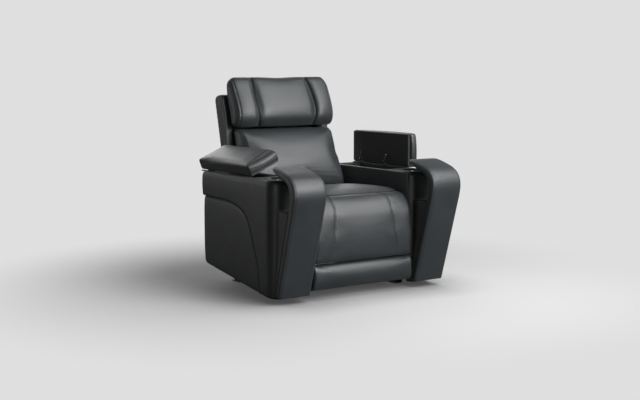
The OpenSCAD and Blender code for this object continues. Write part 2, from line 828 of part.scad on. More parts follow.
module inner_pad() {
    intersection() {
        across(arm_in_x, inner_board_x) polygon(side_outline(void_rear_y));
        linear_extrude(arm_top_z) arm_plan();
        box([arm_in_x, void_front_y, rail_top_z + soft_gap], [inner_board_x, void_rear_y, arm_top_z]);
    }
}

module arm_inner_pads() {
    color("darkslategray") {
        inner_pad();
        on_left() difference() {
            inner_pad();
            switch_box(0);
        }
    }
}

module long_board(x, front_y) {
    lift_y = arm_front_y + (rail_top_z - board_lift - arm_low_front_z) / low_slope;
    across(x, x + board_t) polygon([
        [front_y, rail_top_z], [lift_y, rail_top_z], [void_rear_y, low_z(void_rear_y) + board_lift],
        [void_rear_y, lid_ledge_z], [deck_rear_y, lid_ledge_z], [deck_rear_y, arm_top_z - deck_t],
        [front_y, arm_top_z - deck_t]
    ]);
}

module arm_frame() {
    long_board(inner_board_x, board_front_y);
    box([inner_board_x, bolt_gap_y / 2 - arm_heel_r, rail_top_z],
        [inner_board_x + board_t, bolt_gap_y / 2, low_z(bolt_gap_y / 2) + board_lift * 2]);
    long_board(outer_board_x, arm_front_y + arm_corner_r);
    box([inner_board_x, void_front_y, rail_top_z],
        [arm_out_x - arm_corner_r, board_front_y, arm_top_z - deck_t]);
    box([inner_board_x + board_t, deck_rear_y, arm_top_z / 2],
        [outer_board_x, deck_rear_y + board_t, lid_ledge_z]);
    box([inner_board_x + board_t, void_rear_y - board_t, low_z(void_rear_y) + board_lift],
        [outer_board_x, void_rear_y, lid_ledge_z]);
}

module arm_frame_right() {
    color("burlywood") arm_frame();
}

module arm_frame_left() {
    color("burlywood") on_left() difference() {
        arm_frame();
        switch_box(0);
    }
}

cup_out_r = cup_r + cup_wall;

module arm_decks() {
    color("darkslategray") both_sides() difference() {
        intersection() {
            translate([0, 0, arm_top_z - deck_t]) linear_extrude(deck_t) void_plan();
            box([inner_board_x, void_front_y, 0], [skin_in_x, deck_rear_y, arm_top_z]);
        }
        translate([arm_mid_x, cup_y, 0]) cylinder(r = cup_out_r + soft_gap, h = arm_top_z + cut);
    }
}

module cup_holder() {
    color("silver") translate([arm_mid_x, cup_y, arm_top_z]) difference() {
        union() {
            translate([0, 0, cup_rim_t - cup_depth - cup_wall])
                cylinder(r = cup_out_r, h = cup_depth + cup_wall - cut);
            cylinder(r = cup_out_r + cup_rim_w, h = cup_rim_t);
        }
        translate([0, 0, cup_rim_t - cup_depth]) cylinder(r = cup_r, h = cup_depth + cut);
    }
}

bin_in_x = inner_board_x + board_t + side_gap;
bin_out_x = outer_board_x - side_gap;
bin_front_y = deck_rear_y + board_t + side_gap;
bin_rear_y = void_rear_y - board_t - side_gap;

module storage_bins() {
    color("black") both_sides() difference() {
        box([bin_in_x, bin_front_y, lid_ledge_z - bin_depth - bin_wall],
            [bin_out_x, bin_rear_y, lid_ledge_z]);
        box([bin_in_x + bin_wall, bin_front_y + bin_wall, lid_ledge_z - bin_depth],
            [bin_out_x - bin_wall, bin_rear_y - bin_wall, lid_ledge_z + cut]);
    }
}

// Front straps: the outer path goes up from the foot, round the knee and back to the tip.
// Shares of the reach from the tip to the knee, and of the height.
strap_shares = [
    [0.35, 0], [0.486, 0.16], [0.622, 0.32], [0.76, 0.483], [0.89, 0.637], [0.978, 0.748],
    [1, 0.812], [0.965, 0.868], [0.86, 0.916], [0.673, 0.952], [0.374, 0.983], [0.18, 0.997], [0, 1]
];
// Shares of the strap's thickness along the same points
strap_t_shares = [0.9, 1, 1, 1, 1.05, 1.2, 1.3, 1.3, 1.15, 1, 0.88, 0.66, 0.34];
strap_n = 16;
strap_outer = smooth(place(strap_shares, [strap_tip_y, strap_low_z],
    [strap_knee_y - strap_tip_y, strap_tip_z - strap_low_z]), strap_n);
strap_t_path = smooth([for (s = strap_t_shares) [0, s]], strap_n);
function path_in(path, i) = let (
    d = path[min(i + 1, len(path) - 1)] - path[max(i - 1, 0)]
) unit([d[1], -d[0]]);
strap_inner = [
    for (i = [0:strap_n - 1]) strap_outer[i] + path_in(strap_outer, i) * strap_t * strap_t_path[i][1]
];

module front_strap() {
    color("slategray") translate([arm_mid_x, 0, 0])
        padded(strap_outer, strap_inner, strap_w / 2, strap_edge_r, 0);
}

// The filler lies behind the strap's leg. Its rear edge, in the same shares.
filler_rear_shares = [[0.17, 0.005], [0.185, 0.09], [0.335, 0.41], [0.36, 0.672]];
filler_rear = place(filler_rear_shares, [strap_tip_y, strap_low_z],
    [strap_knee_y - strap_tip_y, strap_tip_z - strap_low_z]);

module strap_filler() {
    leg = [for (p = strap_inner) if (p[1] < filler_top_z && p[0] < filler_rear[0][0]) p + [soft_gap, 0]];
    last = leg[len(leg) - 1];
    across(arm_mid_x - strap_w / 2 + filler_set_in, arm_mid_x + strap_w / 2 - filler_set_in)
        polygon(concat(
            leg, [[last[0], filler_top_z], [filler_rear[3][0], filler_top_z]], reverse(filler_rear)
        ));
}

module strap_fillers() {
    color("darkolivegreen") both_sides() strap_filler();
}

module strap_blocks() {
    color("burlywood") both_sides()
        across(arm_mid_x - block_w / 2, arm_mid_x + block_w / 2) polygon([
            filler_rear[1], [arm_front_y, filler_rear[1][1]], [arm_front_y, filler_rear[3][1]],
            filler_rear[3], filler_rear[2]
        ]);
}

// Lids: each is drawn closed on the right arm and then turned open about its hinge line

lid_hinge_x = skin_in_x - barrel_r - side_gap;
lid_hinge_z = arm_top_z + leaf_t;
lid_in_x = arm_in_x - lid_overhang;
lid_rear_y = lid_front_y + lid_l;
lid_hinge_ys = [deck_rear_y + deck_l - leaf_w / 4, void_rear_y - leaf_w];
lid_board_in = 6;
lid_edge_r = 14;
knuckle_w = leaf_w / 2;

module open_lid(deg) {
    translate([lid_hinge_x, 0, lid_hinge_z]) rotate([0, deg, 0])
        translate([-lid_hinge_x, 0, -lid_hinge_z]) children();
}

// The pad's section, with X to the left: round shoulders, and a lip round the board's edges
module lid_pad() {
    low = lid_hinge_z;
    r = lid_edge_r;
    top = low + lid_t;
    over = low + lid_board_t + soft_gap;
    lip_z = low + barrel_r + side_gap;
    lip = lid_board_in - side_gap;
    path = concat(
        [[-lid_hinge_x + side_gap, lip_z], [-lid_hinge_x, (lip_z + over) / 2]],
        arc([-lid_hinge_x + r, top - r], r, 180, 90, 4),
        [[-(lid_hinge_x * 2 + lid_in_x) / 3, top], [-(lid_hinge_x + lid_in_x * 2) / 3, top]],
        arc([-lid_in_x - r, top - r], r, 90, 0, 4),
        [[-lid_in_x, (lip_z + over) / 2], [-lid_in_x - side_gap, lip_z]]
    );
    n = len(path);
    x0 = -lid_hinge_x + lip;
    x1 = -lid_in_x - lip;
    under = concat(
        [[x0, lip_z], [x0, (lip_z + over) / 2]],
        [for (i = [0:n - 5]) [x0 + (x1 - x0) * i / (n - 5), over]],
        [[x1, (lip_z + over) / 2], [x1, lip_z]]
    );
    color("darkslategray") translate([0, (lid_front_y + lid_rear_y) / 2, 0]) rotate([0, 0, 90])
        padded(path, under, lid_l / 2, lid_edge_r, lid_crown);
}

module lid_board() {
    color("black")
        box([lid_in_x + lid_board_in, lid_front_y + lid_board_in, lid_hinge_z],
            [lid_hinge_x - lid_board_in, lid_rear_y - lid_board_in, lid_hinge_z + lid_board_t]);
}

// The leaves that turn with the lid, each with the middle knuckle of its hinge
module lid_leaves() {
    color("silver") for (y = lid_hinge_ys) difference() {
        union() {
            box([lid_hinge_x - leaf_l, y - knuckle_w, lid_hinge_z - leaf_t],
                [lid_hinge_x - barrel_r / 2, y + knuckle_w, lid_hinge_z]);
            translate([lid_hinge_x, y + knuckle_w, lid_hinge_z]) rotate([90, 0, 0])
                cylinder(r = barrel_r, h = leaf_w);
        }
        translate([lid_hinge_x, y + knuckle_w + cut, lid_hinge_z]) rotate([90, 0, 0])
            cylinder(r = lid_pin_r + fit_gap, h = leaf_w + cut + cut);
    }
}

// The fixed halves, with two outer knuckles and the pin between them
module lid_hinge_seat() {
    for (y = lid_hinge_ys) {
        for (y0 = [y - leaf_w, y + knuckle_w + soft_gap]) {
            box([lid_hinge_x - leaf_t - leaf_t, y0, lid_ledge_z],
                [lid_hinge_x + leaf_t / 2, y0 + knuckle_w - soft_gap, lid_hinge_z - lid_pin_r]);
            translate([lid_hinge_x, y0 + knuckle_w - soft_gap, lid_hinge_z]) rotate([90, 0, 0])
                cylinder(r = barrel_r, h = knuckle_w - soft_gap);
        }
        translate([lid_hinge_x, y + leaf_w, lid_hinge_z]) rotate([90, 0, 0])
            cylinder(r = lid_pin_r, h = leaf_w * 2);
    }
}

module lid_hinge_seats() {
    color("silver") both_sides() lid_hinge_seat();
}

// Switches on the left arm's inner face, beside the sitter's right hand

button_ys = [for (i = [0:button_count - 1]) switch_y - button_room / 2 + i * button_pitch];

module switch_plate() {
    color("black") on_left() difference() {
        union() {
            switch_box(0);
            box([arm_in_x - switch_plate_t, switch_y - switch_half_l - switch_plate_t,
                switch_z - switch_half_h - switch_plate_t],
                [arm_in_x, switch_y + switch_half_l + switch_plate_t,
                switch_z + switch_half_h + switch_plate_t]);
        }
        for (y = button_ys)
            bar(arm_in_x - switch_plate_t - cut, arm_in_x + switch_depth - button_back,
                button_r + fit_gap, [y, switch_z]);
    }
}

module push_button(i) {
    color("gainsboro") on_left()
        bar(arm_in_x - switch_plate_t - button_proud, arm_in_x + switch_depth - button_back * 2,
            button_r, [button_ys[i], switch_z]);
}

// Back: everything in it is drawn upright, with Y as the depth from the pivot and Z as the
// height above it, and then leant back about the pivot

module leant() {
    translate([0, pivot_y, pivot_z]) rotate([-back_lean, 0, 0]) children();
}
// A place in the room, as depth and height in the leant back
function in_back(p) = let (d = p - pivot)
    [d[0] * cos(back_lean) - d[1] * sin(back_lean), d[0] * sin(back_lean) + d[1] * cos(back_lean)];

post_in_x = bracket_in_x - post_w;
post_low_h = -back_tail_h * 4 / 7;
post_top_h = back_top_h - shell_t - side_gap;
post_rear_d = shell_d - shell_t;
back_rail_h = 45;
head_hinge = in_back([head_hinge_y, head_hinge_z]);
head_rail_in_x = channel_x * 3 / 5;

module back_rail(low_h, in_x, front_d) {
    box([in_x, front_d, low_h], [post_in_x, front_d + post_w, low_h + back_rail_h]);
}

module back_frame() {
    color("burlywood") leant() {
        both_sides() {
            box([post_in_x, frame_d, post_low_h], [bracket_in_x, post_rear_d, post_top_h]);
            back_rail(head_hinge[1] - back_rail_h / 2, head_rail_in_x, frame_d);
        }
        for (h = [crossbar_r, wing_h * 2 / 3]) back_rail(h, -post_in_x, frame_d);
        back_rail(post_top_h - back_rail_h, -post_in_x, post_rear_d - post_w);
    }
}

web_w = 50;
web_shares = [0.32, 0.5, 0.82, 1];

module back_webbing() {
    color("tan") leant() for (share = web_shares)
        box([-bracket_in_x, frame_d - web_t, wing_h * share - web_w / 2],
            [bracket_in_x, frame_d, wing_h * share + web_w / 2]);
}

back_n = 14;
back_edge_r = 26;
back_pad_rear_d = frame_d - web_t - soft_gap;
back_pad_top_h = head_hinge[1] - head_roll_r;
back_pad_low_h = back_pad_top_h / 5;
// Shares of the cushion's depth before the frame, and of its height
back_front_shares = [
    [0.42, -0.03], [0.74, -0.01], [0.97, 0.04], [1.04, 0.12], [1.05, 0.22], [1.03, 0.33], [0.97, 0.46],
    [0.87, 0.6], [0.76, 0.74], [0.64, 0.87], [0.5, 0.955], [0.27, 1]
];

module back_cushion() {
    h = back_pad_top_h - back_pad_low_h;
    front = smooth(place(back_front_shares, [back_pad_rear_d, back_pad_low_h], [-back_pad_t, h]), back_n);
    rear = [for (i = [0:back_n - 1]) [back_pad_rear_d, back_pad_low_h + h * (i + 0.4) / (back_n + 0.6)]];
    color("slategray") leant() padded(front, rear, cushion_half, back_edge_r, back_crown);
}

module back_shell() {
    r = shell_top_r;
    wing_front_d = frame_d + soft_gap;
    color("darkslategray") leant() difference() {
        union() {
            across(-tail_w / 2, tail_w / 2) polygon([
                [frame_d + post_w + side_gap, -back_tail_h + shell_t], [post_rear_d, -back_tail_h],
                [shell_d - shell_t / 3, -back_tail_h], [shell_d, -back_tail_h + shell_t],
                [shell_d, wing_h + r], [frame_d + post_w + side_gap, wing_h + r]
            ]);
            across(-shell_w / 2, shell_w / 2) polygon(concat(
                [[wing_front_d + shell_t, wing_h], [shell_d, wing_h]],
                arc([shell_d - r, back_top_h - r], r, 0, 90, 6),
                arc([wing_front_d + r, back_top_h - r], r, 90, 180, 6),
                [[wing_front_d, wing_h * 4 / 3]]
            ));
        }
        box([-bracket_in_x, -frame_d, -back_tail_h + shell_t],
            [bracket_in_x, post_rear_d, back_top_h - shell_t]);
    }
}

// The tube on the pivot line, its two brackets on the posts and the crank of the back's drive
back_crank = [pivot[0] + drive_pin_r * 4, pivot[1] - eye_r * 2.85];
back_crank_x = 120;

module back_bracket() {
    difference() {
        across(bracket_in_x, bracket_in_x + leg_arm_t) {
            circle(r = eye_r);
            polygon([
                [-eye_r, 0], [eye_r, -eye_r / 2], [frame_d + post_w - side_gap, 0],
                [frame_d + post_w - side_gap, back_pad_low_h], [frame_d, back_pad_low_h]
            ]);
        }
        bar(bracket_in_x - cut, bracket_in_x + leg_arm_t + cut, pin_r + fit_gap, [0, 0]);
    }
}

module back_crossbar() {
    color("dimgray") {
        crossbar(pivot, bracket_in_x, back_crank, back_crank_x);
        leant() both_sides() back_bracket();
    }
}

// Headrest: it turns about a hinge inside its bottom roll

head_arm_t = 4;
head_arm_x = head_rail_in_x + head_arm_t * 2;
head_board_d = in_back([head_hinge_y + head_t, head_hinge_z + head_h * 3 / 4])[0] - board_t;
head_board_low_h = head_hinge[1] + head_roll_r;
head_board_top_h = head_hinge[1] + head_h * 2 / 3;
head_board_half = head_w / 2 - shell_top_r * 2;
head_eye_r = pin_r * 2;
head_pin_r = pin_r * 5 / 6;

module head_hinge_arms() {
    color("dimgray") leant() both_sides() {
        across(head_arm_x, head_arm_x + head_arm_t) {
            translate(head_hinge) circle(r = head_eye_r);
            polygon([
                head_hinge + [0, head_eye_r], head_hinge - [0, head_eye_r],
                [frame_d, head_hinge[1] - back_rail_h / 2], [frame_d, head_hinge[1] + back_rail_h / 2]
            ]);
        }
        box([head_rail_in_x, frame_d - head_arm_t, head_hinge[1] - back_rail_h / 2],
            [head_arm_x + back_rail_h, frame_d, head_hinge[1] + back_rail_h / 2]);
        bar(head_arm_x - head_arm_t - head_arm_t, head_arm_x, head_pin_r, head_hinge);
    }
    at = in_back(head_clevis);
    color("dimgray") leant() clevis_bracket(at, 0, [
        at - [drive_eye_r, 0], at + [drive_eye_r, 0],
        [frame_d + post_w + board_t, wing_h * 2 / 3], [frame_d + post_w, wing_h * 2 / 3],
        [frame_d + post_w, wing_h * 2 / 3 + back_rail_h]
    ]);
}

head_n = 20;
// Shares of the depth and height from the hinge: front and rear, from the bottom to the top
head_front_shares = [
    [0.06, -0.204], [-0.16, -0.192], [-0.34, -0.12], [-0.44, -0.01], [-0.45, 0.1], [-0.38, 0.24],
    [-0.22, 0.41], [0, 0.6], [0.22, 0.78], [0.44, 0.92], [0.62, 0.985], [0.76, 1]
];
head_rear_shares = [
    [0.26, -0.185], [0.4, -0.11], [0.5, 0], [0.6, 0.12], [0.72, 0.26], [0.83, 0.38], [0.93, 0.5],
    [0.98, 0.62], [1.01, 0.74], [1, 0.85], [0.96, 0.93], [0.88, 0.975]
];
head_edge_r = 32;

module headrest_form() {
    front = smooth(place(head_front_shares, [head_hinge_y, head_hinge_z], [head_t, head_h]), head_n);
    rear = smooth(place(head_rear_shares, [head_hinge_y, head_hinge_z], [head_t, head_h]), head_n);
    shift = [for (i = [0:head_n - 1]) channel_bow * sin(180 * i / (head_n - 1))];
    padded(front, rear, head_w / 2, head_edge_r, head_crown, channel_x, channel_w, channel_depth, shift);
}

module headrest_cushion() {
    slot_r = head_eye_r + cut + cut;
    deep = head_t;
    color("slategray") difference() {
        headrest_form();
        leant() {
            box([-head_board_half - soft_gap, head_board_d - soft_gap, head_board_low_h - cut],
                [head_board_half + soft_gap, head_board_d + deep, head_board_top_h + soft_gap]);
            box([crank_in_x - cut, head_board_d, head_hinge[1]],
                [crank_in_x + crank_t + cut, head_board_d + deep, head_board_low_h]);
            both_sides() across(head_arm_x - head_arm_t * 2 - cut, head_arm_x + head_arm_t + cut) {
                translate(head_hinge) circle(r = slot_r);
                polygon([
                    head_hinge + [-slot_r / 2, slot_r], head_hinge + [-slot_r, -slot_r / 2],
                    head_hinge + [0, -slot_r * 2], head_hinge + [deep, -deep],
                    head_hinge + [deep, head_h / 3],
                    [head_board_d, head_board_low_h + back_rail_h + cut],
                    [head_board_d - board_t, head_board_low_h + back_rail_h + cut]
                ]);
            }
        }
    }
}

module headrest_board() {
    color("burlywood") leant()
        box([-head_board_half, head_board_d, head_board_low_h],
            [head_board_half, head_board_d + lid_board_t, head_board_top_h]);
}

head_crank = [head_hinge_y + eye_r * 3.1, head_hinge_z - pin_r * 1.7];

module headrest_brackets() {
    pin_at = in_back(head_crank);
    color("dimgray") leant() {
        both_sides() difference() {
            across(head_arm_x - head_arm_t - cut, head_arm_x - cut) {
                translate(head_hinge) circle(r = head_eye_r);
                polygon([
                    head_hinge + [-head_eye_r, 0], head_hinge + [0, -head_eye_r],
                    [head_board_d + lid_board_t, head_board_low_h - head_arm_t],
                    [head_board_d + lid_board_t, head_board_low_h], [head_board_d, head_board_low_h],
                    [head_board_d, head_board_low_h + back_rail_h],
                    [head_board_d - head_arm_t, head_board_low_h + back_rail_h]
                ]);
            }
            bar(head_arm_x - head_arm_t - cut - cut, head_arm_x, head_pin_r + fit_gap, head_hinge);
        }
        across(crank_in_x, crank_in_x + crank_t) {
            translate(pin_at) circle(r = drive_pin_r * 2);
            polygon([
                pin_at - [drive_pin_r * 2, 0], pin_at + [drive_pin_r * 2, 0],
                [head_board_d + lid_board_t, head_board_low_h],
                [head_board_d + head_arm_t, head_board_low_h]
            ]);
        }
    }
}

// Drives: a gear case on a clevis pin, a motor beside it, a tube and a push rod.
// Each is drawn along Z from its clevis pin and turned to point at its crank.

drive_eye_r = drive_pin_r * 2;
drive_half = drive_pin_r * 1.4;
case_low = drive_eye_r + drive_pin_r;
// Each clevis pin lies this far behind, or ahead of, and below the hinge that its drive turns
leg_clevis_behind = 422;
leg_clevis_below = 177;
back_clevis_ahead = 320;
back_clevis_below = 150;
head_clevis_behind = 68;
head_clevis_below = 205;
leg_clevis = [leg_hinge_y + leg_clevis_behind, leg_hinge_z - leg_clevis_below];
back_clevis = [pivot_y - back_clevis_ahead, pivot_z - back_clevis_below];
head_clevis = [head_hinge_y + head_clevis_behind, head_hinge_z - head_clevis_below];

module aimed(from, to, x) {
    d = to - from;
    translate([x, from[0], from[1]]) rotate([-atan2(d[0], d[1]), 0, 0]) children();
}

module drive(tube_l, motor_side) {
    case_top = case_low + case_size;
    difference() {
        union() {
            bar(-drive_half, drive_half, drive_eye_r, [0, 0]);
            box([-drive_half, -drive_eye_r / 2, 0], [drive_half, drive_eye_r / 2, case_low]);
            box([-case_size / 2, -case_size / 2, case_low], [case_size / 2, case_size / 2, case_top]);
            translate([0, 0, case_low]) cylinder(r = drive_tube_r, h = case_size + tube_l);
            translate([motor_side * (case_size + motor_r) / 2, 0, case_low])
                cylinder(r = motor_r, h = motor_l);
        }
        bar(-drive_half - cut, drive_half + cut, drive_pin_r + fit_gap, [0, 0]);
        translate([0, 0, case_low + case_size / 2])
            cylinder(r = rod_r + fit_gap, h = case_size + tube_l);
    }
}

module drive_rod(reach, in_tube) {
    difference() {
        union() {
            translate([0, 0, reach - in_tube]) cylinder(r = rod_r, h = in_tube - drive_eye_r / 2);
            translate([0, 0, reach]) rotate([0, 90, 0])
                translate([0, 0, -crank_in_x + cut]) cylinder(r = drive_eye_r, h = (crank_in_x - cut) * 2);
        }
        bar(-drive_half - cut, drive_half + cut, drive_pin_r + fit_gap, [0, reach]);
    }
}

leg_reach = norm(leg_crank - leg_clevis);
back_reach = norm(back_crank - back_clevis);
head_reach = norm(head_crank - head_clevis);
drive_end = drive_eye_r * 2;
back_pull = 46;

module leg_drive() {
    color("dimgray") aimed(leg_clevis, leg_crank, 0)
        drive(leg_reach - case_low - case_size - drive_end, -1);
}

module leg_drive_rod() {
    color("silver") aimed(leg_clevis, leg_crank, 0) drive_rod(leg_reach, leg_reach / 2);
}

module back_drive() {
    color("dimgray") aimed(back_clevis, back_crank, back_crank_x - crank_in_x)
        drive(back_reach - case_low - case_size - drive_end - back_pull, 1);
}

module back_drive_rod() {
    color("silver") aimed(back_clevis, back_crank, back_crank_x - crank_in_x)
        drive_rod(back_reach, back_reach / 2);
}

module head_drive() {
    color("dimgray") aimed(head_clevis, head_crank, 0)
        drive(head_reach - case_low - case_size - drive_end, -1);
}

module head_drive_rod() {
    color("silver") aimed(head_clevis, head_crank, 0) drive_rod(head_reach, head_reach / 2);
}

// Brackets that carry the drives' clevis pins
module clevis_bracket(at, x, foot) {
    for (x0 = [x - drive_half - side_gap - plate_t, x + drive_half + side_gap]) difference() {
        across(x0, x0 + plate_t) {
            translate(at) circle(r = drive_eye_r);
            polygon(foot);
        }
        bar(x0 - cut, x0 + plate_t + cut, drive_pin_r, at);
    }
    bar(x - drive_half - side_gap - plate_t, x + drive_half + side_gap + plate_t, drive_pin_r, at);
}

module drive_brackets() {
    tube_top = rail_low_z + cross_h;
    rear_tube = cross_rear_y - cross_h / 2;
    front_tube = cross_front_y + cross_h;
    color("dimgray") {
        clevis_bracket(leg_clevis, 0, [
            leg_clevis - [drive_eye_r, 0], leg_clevis + [drive_eye_r, 0],
            [rear_tube + cross_h / 2, tube_top], [rear_tube - cross_h / 2, tube_top]
        ]);
        clevis_bracket(back_clevis, back_crank_x - crank_in_x, [
            back_clevis + [drive_eye_r, 0], back_clevis - [drive_eye_r, 0],
            [front_tube - cross_h / 2, tube_top], [front_tube + cross_h / 2, tube_top]
        ]);
    }
}

supply_w = 120;
supply_l = 62;
supply_h = 46;
inlet_w = 28;
inlet_h = 20;
inlet_depth = 16;

module power_supply() {
    rear_y = cross_rear_y + soft_gap;
    x = -back_crank_x;
    low = rail_low_z + cross_h;
    color("black") difference() {
        box([x - supply_w / 2, rear_y - supply_l, low], [x + supply_w / 2, rear_y, low + supply_h]);
        box([x - inlet_w / 2, rear_y - inlet_depth, low + inlet_h / 2],
            [x + inlet_w / 2, rear_y + cut, low + inlet_h / 2 + inlet_h]);
    }
}

base_rails();
cross_tubes();
foot_plates();
mechanism_plates();
hinge_pins();
seat_frame();
frame_bolts();
seat_springs();
seat_cushion();
drive_brackets();
power_supply();
arm_frame_left();
arm_frame_right();
arm_decks();
on_left() arm_band();  // arm_band_left
arm_band();  // arm_band_right
on_left() arm_panel();  // arm_panel_left
arm_panel();  // arm_panel_right
arm_inner_pads();
on_left() front_strap();  // front_strap_left
front_strap();  // front_strap_right
strap_fillers();
strap_blocks();
storage_bins();
on_left() cup_holder();  // cup_holder_left
cup_holder();  // cup_holder_right
lid_hinge_seats();
switch_plate();
on_left() open_lid(lid_left_deg) lid_pad();  // lid_pad_left
on_left() open_lid(lid_left_deg) lid_board();  // lid_board_left
on_left() open_lid(lid_left_deg) lid_leaves();  // lid_leaves_left
open_lid(lid_open_deg) lid_pad();  // lid_pad_right
open_lid(lid_open_deg) lid_board();  // lid_board_right
open_lid(lid_open_deg) lid_leaves();  // lid_leaves_right
leg_cushion();
leg_board();
leg_arms();
leg_crossbar();
foot_cushion();
foot_board();
foot_rails();
back_frame();
back_webbing();
back_cushion();
back_shell();
back_crossbar();
head_hinge_arms();
headrest_cushion();
headrest_board();
headrest_brackets();
leg_drive();
leg_drive_rod();
back_drive();
back_drive_rod();
head_drive();
head_drive_rod();
push_button(0);  // button_legs_out
push_button(1);  // button_legs_in
push_button(2);  // button_head_up
push_button(3);  // button_head_down
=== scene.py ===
import json
import math

import bmesh
import bpy
import numpy as np
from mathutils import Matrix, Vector
from mathutils.bvhtree import BVHTree
from mathutils.geometry import delaunay_2d_cdt
from mathutils.kdtree import KDTree


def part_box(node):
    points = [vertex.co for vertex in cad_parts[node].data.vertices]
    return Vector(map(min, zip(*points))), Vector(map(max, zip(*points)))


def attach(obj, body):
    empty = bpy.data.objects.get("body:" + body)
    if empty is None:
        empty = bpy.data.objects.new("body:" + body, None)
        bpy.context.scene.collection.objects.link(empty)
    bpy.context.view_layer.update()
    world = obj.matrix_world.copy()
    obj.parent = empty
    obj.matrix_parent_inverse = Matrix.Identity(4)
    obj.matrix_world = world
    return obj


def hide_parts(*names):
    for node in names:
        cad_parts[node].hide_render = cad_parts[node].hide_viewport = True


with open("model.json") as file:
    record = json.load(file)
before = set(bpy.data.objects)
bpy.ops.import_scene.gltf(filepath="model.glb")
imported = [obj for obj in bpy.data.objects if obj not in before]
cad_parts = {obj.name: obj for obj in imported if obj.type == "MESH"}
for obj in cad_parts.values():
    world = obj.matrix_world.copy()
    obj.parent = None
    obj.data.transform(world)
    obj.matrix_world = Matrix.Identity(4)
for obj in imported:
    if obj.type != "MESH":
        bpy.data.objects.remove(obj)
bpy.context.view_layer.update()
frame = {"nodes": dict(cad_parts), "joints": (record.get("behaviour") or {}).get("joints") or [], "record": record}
scene = bpy.context.scene
nodeSlot = {part["node"]: part["material_slot"] for part in frame["record"]["subparts"]}
sides = (("left", -1), ("right", 1))
print("frame loaded:", len(frame["nodes"]), "nodes")


def addObject(name, data):
    thing = bpy.data.objects.new(name, data)
    scene.collection.objects.link(thing)
    return thing


def aimAlong(thing, direction):
    thing.rotation_euler = direction.to_track_quat("-Z", "Y").to_euler()


# Nodes


def setInputs(tree, node, inputs):
    # inputs go by name or place; each is a value, or an output to link from
    for name, value in inputs.items():
        if isinstance(value, bpy.types.NodeSocket):
            tree.links.new(value, node.inputs[name])
        else:
            node.inputs[name].default_value = value


def addNode(tree, kind, inputs=None, **fields):
    node = tree.nodes.new(kind)
    for name, value in fields.items():
        setattr(node, name, value)
    setInputs(tree, node, inputs or {})
    return node


def newTree(name, kind, inputs, outputs):
    # inputs are label, kind and value; outputs are label and kind
    tree = bpy.data.node_groups.new(name, kind)
    for label, socketKind, value in inputs:
        socket = tree.interface.new_socket(label, in_out="INPUT", socket_type="NodeSocket" + socketKind)
        if value is not None:
            socket.default_value = value
    for label, socketKind in outputs:
        tree.interface.new_socket(label, in_out="OUTPUT", socket_type="NodeSocket" + socketKind)
    return tree, addNode(tree, "NodeGroupInput").outputs, addNode(tree, "NodeGroupOutput")


def mathNode(tree, kind, a, b=0.5):
    return addNode(tree, "ShaderNodeMath", {0: a, 1: b}, operation=kind).outputs[0]


def rangeNode(tree, value, low, high, newLow, newHigh):
    inputs = {"Value": value, "From Min": low, "From Max": high, "To Min": newLow, "To Max": newHigh}
    return addNode(tree, "ShaderNodeMapRange", inputs).outputs["Result"]


def mixNode(tree, factor, first, second):
    inputs = {"Factor": factor, "A": first, "B": second}
    return addNode(tree, "ShaderNodeMix", inputs, data_type="RGBA").outputs["Result"]


def noiseNode(tree, vector, scale, detail=2.0, rough=0.5, output="Fac"):
    inputs = {"Vector": vector, "Scale": scale, "Detail": detail, "Roughness": rough}
    return addNode(tree, "ShaderNodeTexNoise", inputs).outputs[output]


def waveNode(tree, vector, scale, distortion=0.0, detail=2.0, **fields):
    inputs = {"Vector": vector, "Scale": scale, "Distortion": distortion, "Detail": detail}
    return addNode(tree, "ShaderNodeTexWave", inputs, **fields).outputs["Fac"]


def scaledPlace(tree, vector, scale, turn=(0, 0, 0)):
    inputs = {"Vector": vector, "Scale": scale, "Rotation": turn}
    return addNode(tree, "ShaderNodeMapping", inputs).outputs[0]


def colour(r, g, b):
    return (r, g, b, 1)


# Camera, floor and lights

cameraSetup = {"place": (-3.3628, -5.0277, 1.1277), "azimuth": -34.238, "elevation": 6.62,
               "lens": 65.65, "sensor": 36}
studio = {
    "backdrop": 0.74, "ambient": 0.075, "ambientTint": colour(0.97, 0.985, 1),
    "floorRadius": 14, "floorTone": 0.5, "floorBounce": 0.12,
    # the least share of backdrop glow is mixed into the floor under the chair, painted light on its shadows; the
    # reach is how far the painted contact shadow spreads
    "fadeStart": 0.7, "fadeEnd": 2.0, "shadowLiftShare": 0.08, "paintedShadowReach": 0.3,
    "lights": [
        # name, place, aim, width, depth, watts
        ("top softbox", (1.3, -1.7, 3.0), (0.1, -0.2, 0.4), 2.8, 2.8, 112),
        ("front softbox", (0.8, -3.7, 2.1), (0, -0.1, 0.5), 2.8, 2.0, 165),
        ("low fill", (-2.4, -4.0, 0.7), (0.1, -0.3, 0.35), 1.6, 1.0, 16),
        ("rear glow", (0.9, 4.0, 2.4), (0, 0, 0.6), 4.2, 2.8, 80),
        ("fill", (-3.1, 2.4, 1.2), (0, -0.1, 0.4), 2.4, 1.8, 17),
    ],
}

azimuth, elevation = (math.radians(cameraSetup[key]) for key in ("azimuth", "elevation"))
cameraData = bpy.data.cameras.new("photo camera")
cameraData.lens = cameraSetup["lens"]
cameraData.sensor_width = cameraSetup["sensor"]
camera = addObject("photo camera", cameraData)
camera.location = cameraSetup["place"]
aimAlong(camera, Vector((-math.sin(azimuth) * math.cos(elevation),
                         math.cos(azimuth) * math.cos(elevation), -math.sin(elevation))))
scene.camera = camera
scene.view_settings.view_transform = "Standard"

for lampName, place, target, wide, deep, watts in studio["lights"]:
    lampData = bpy.data.lights.new(lampName, "AREA")
    lampData.shape = "RECTANGLE"
    lampData.size = wide
    lampData.size_y = deep
    lampData.energy = watts
    lamp = addObject(lampName, lampData)
    lamp.visible_camera = False
    lamp.location = place
    aimAlong(lamp, Vector(target) - Vector(place))


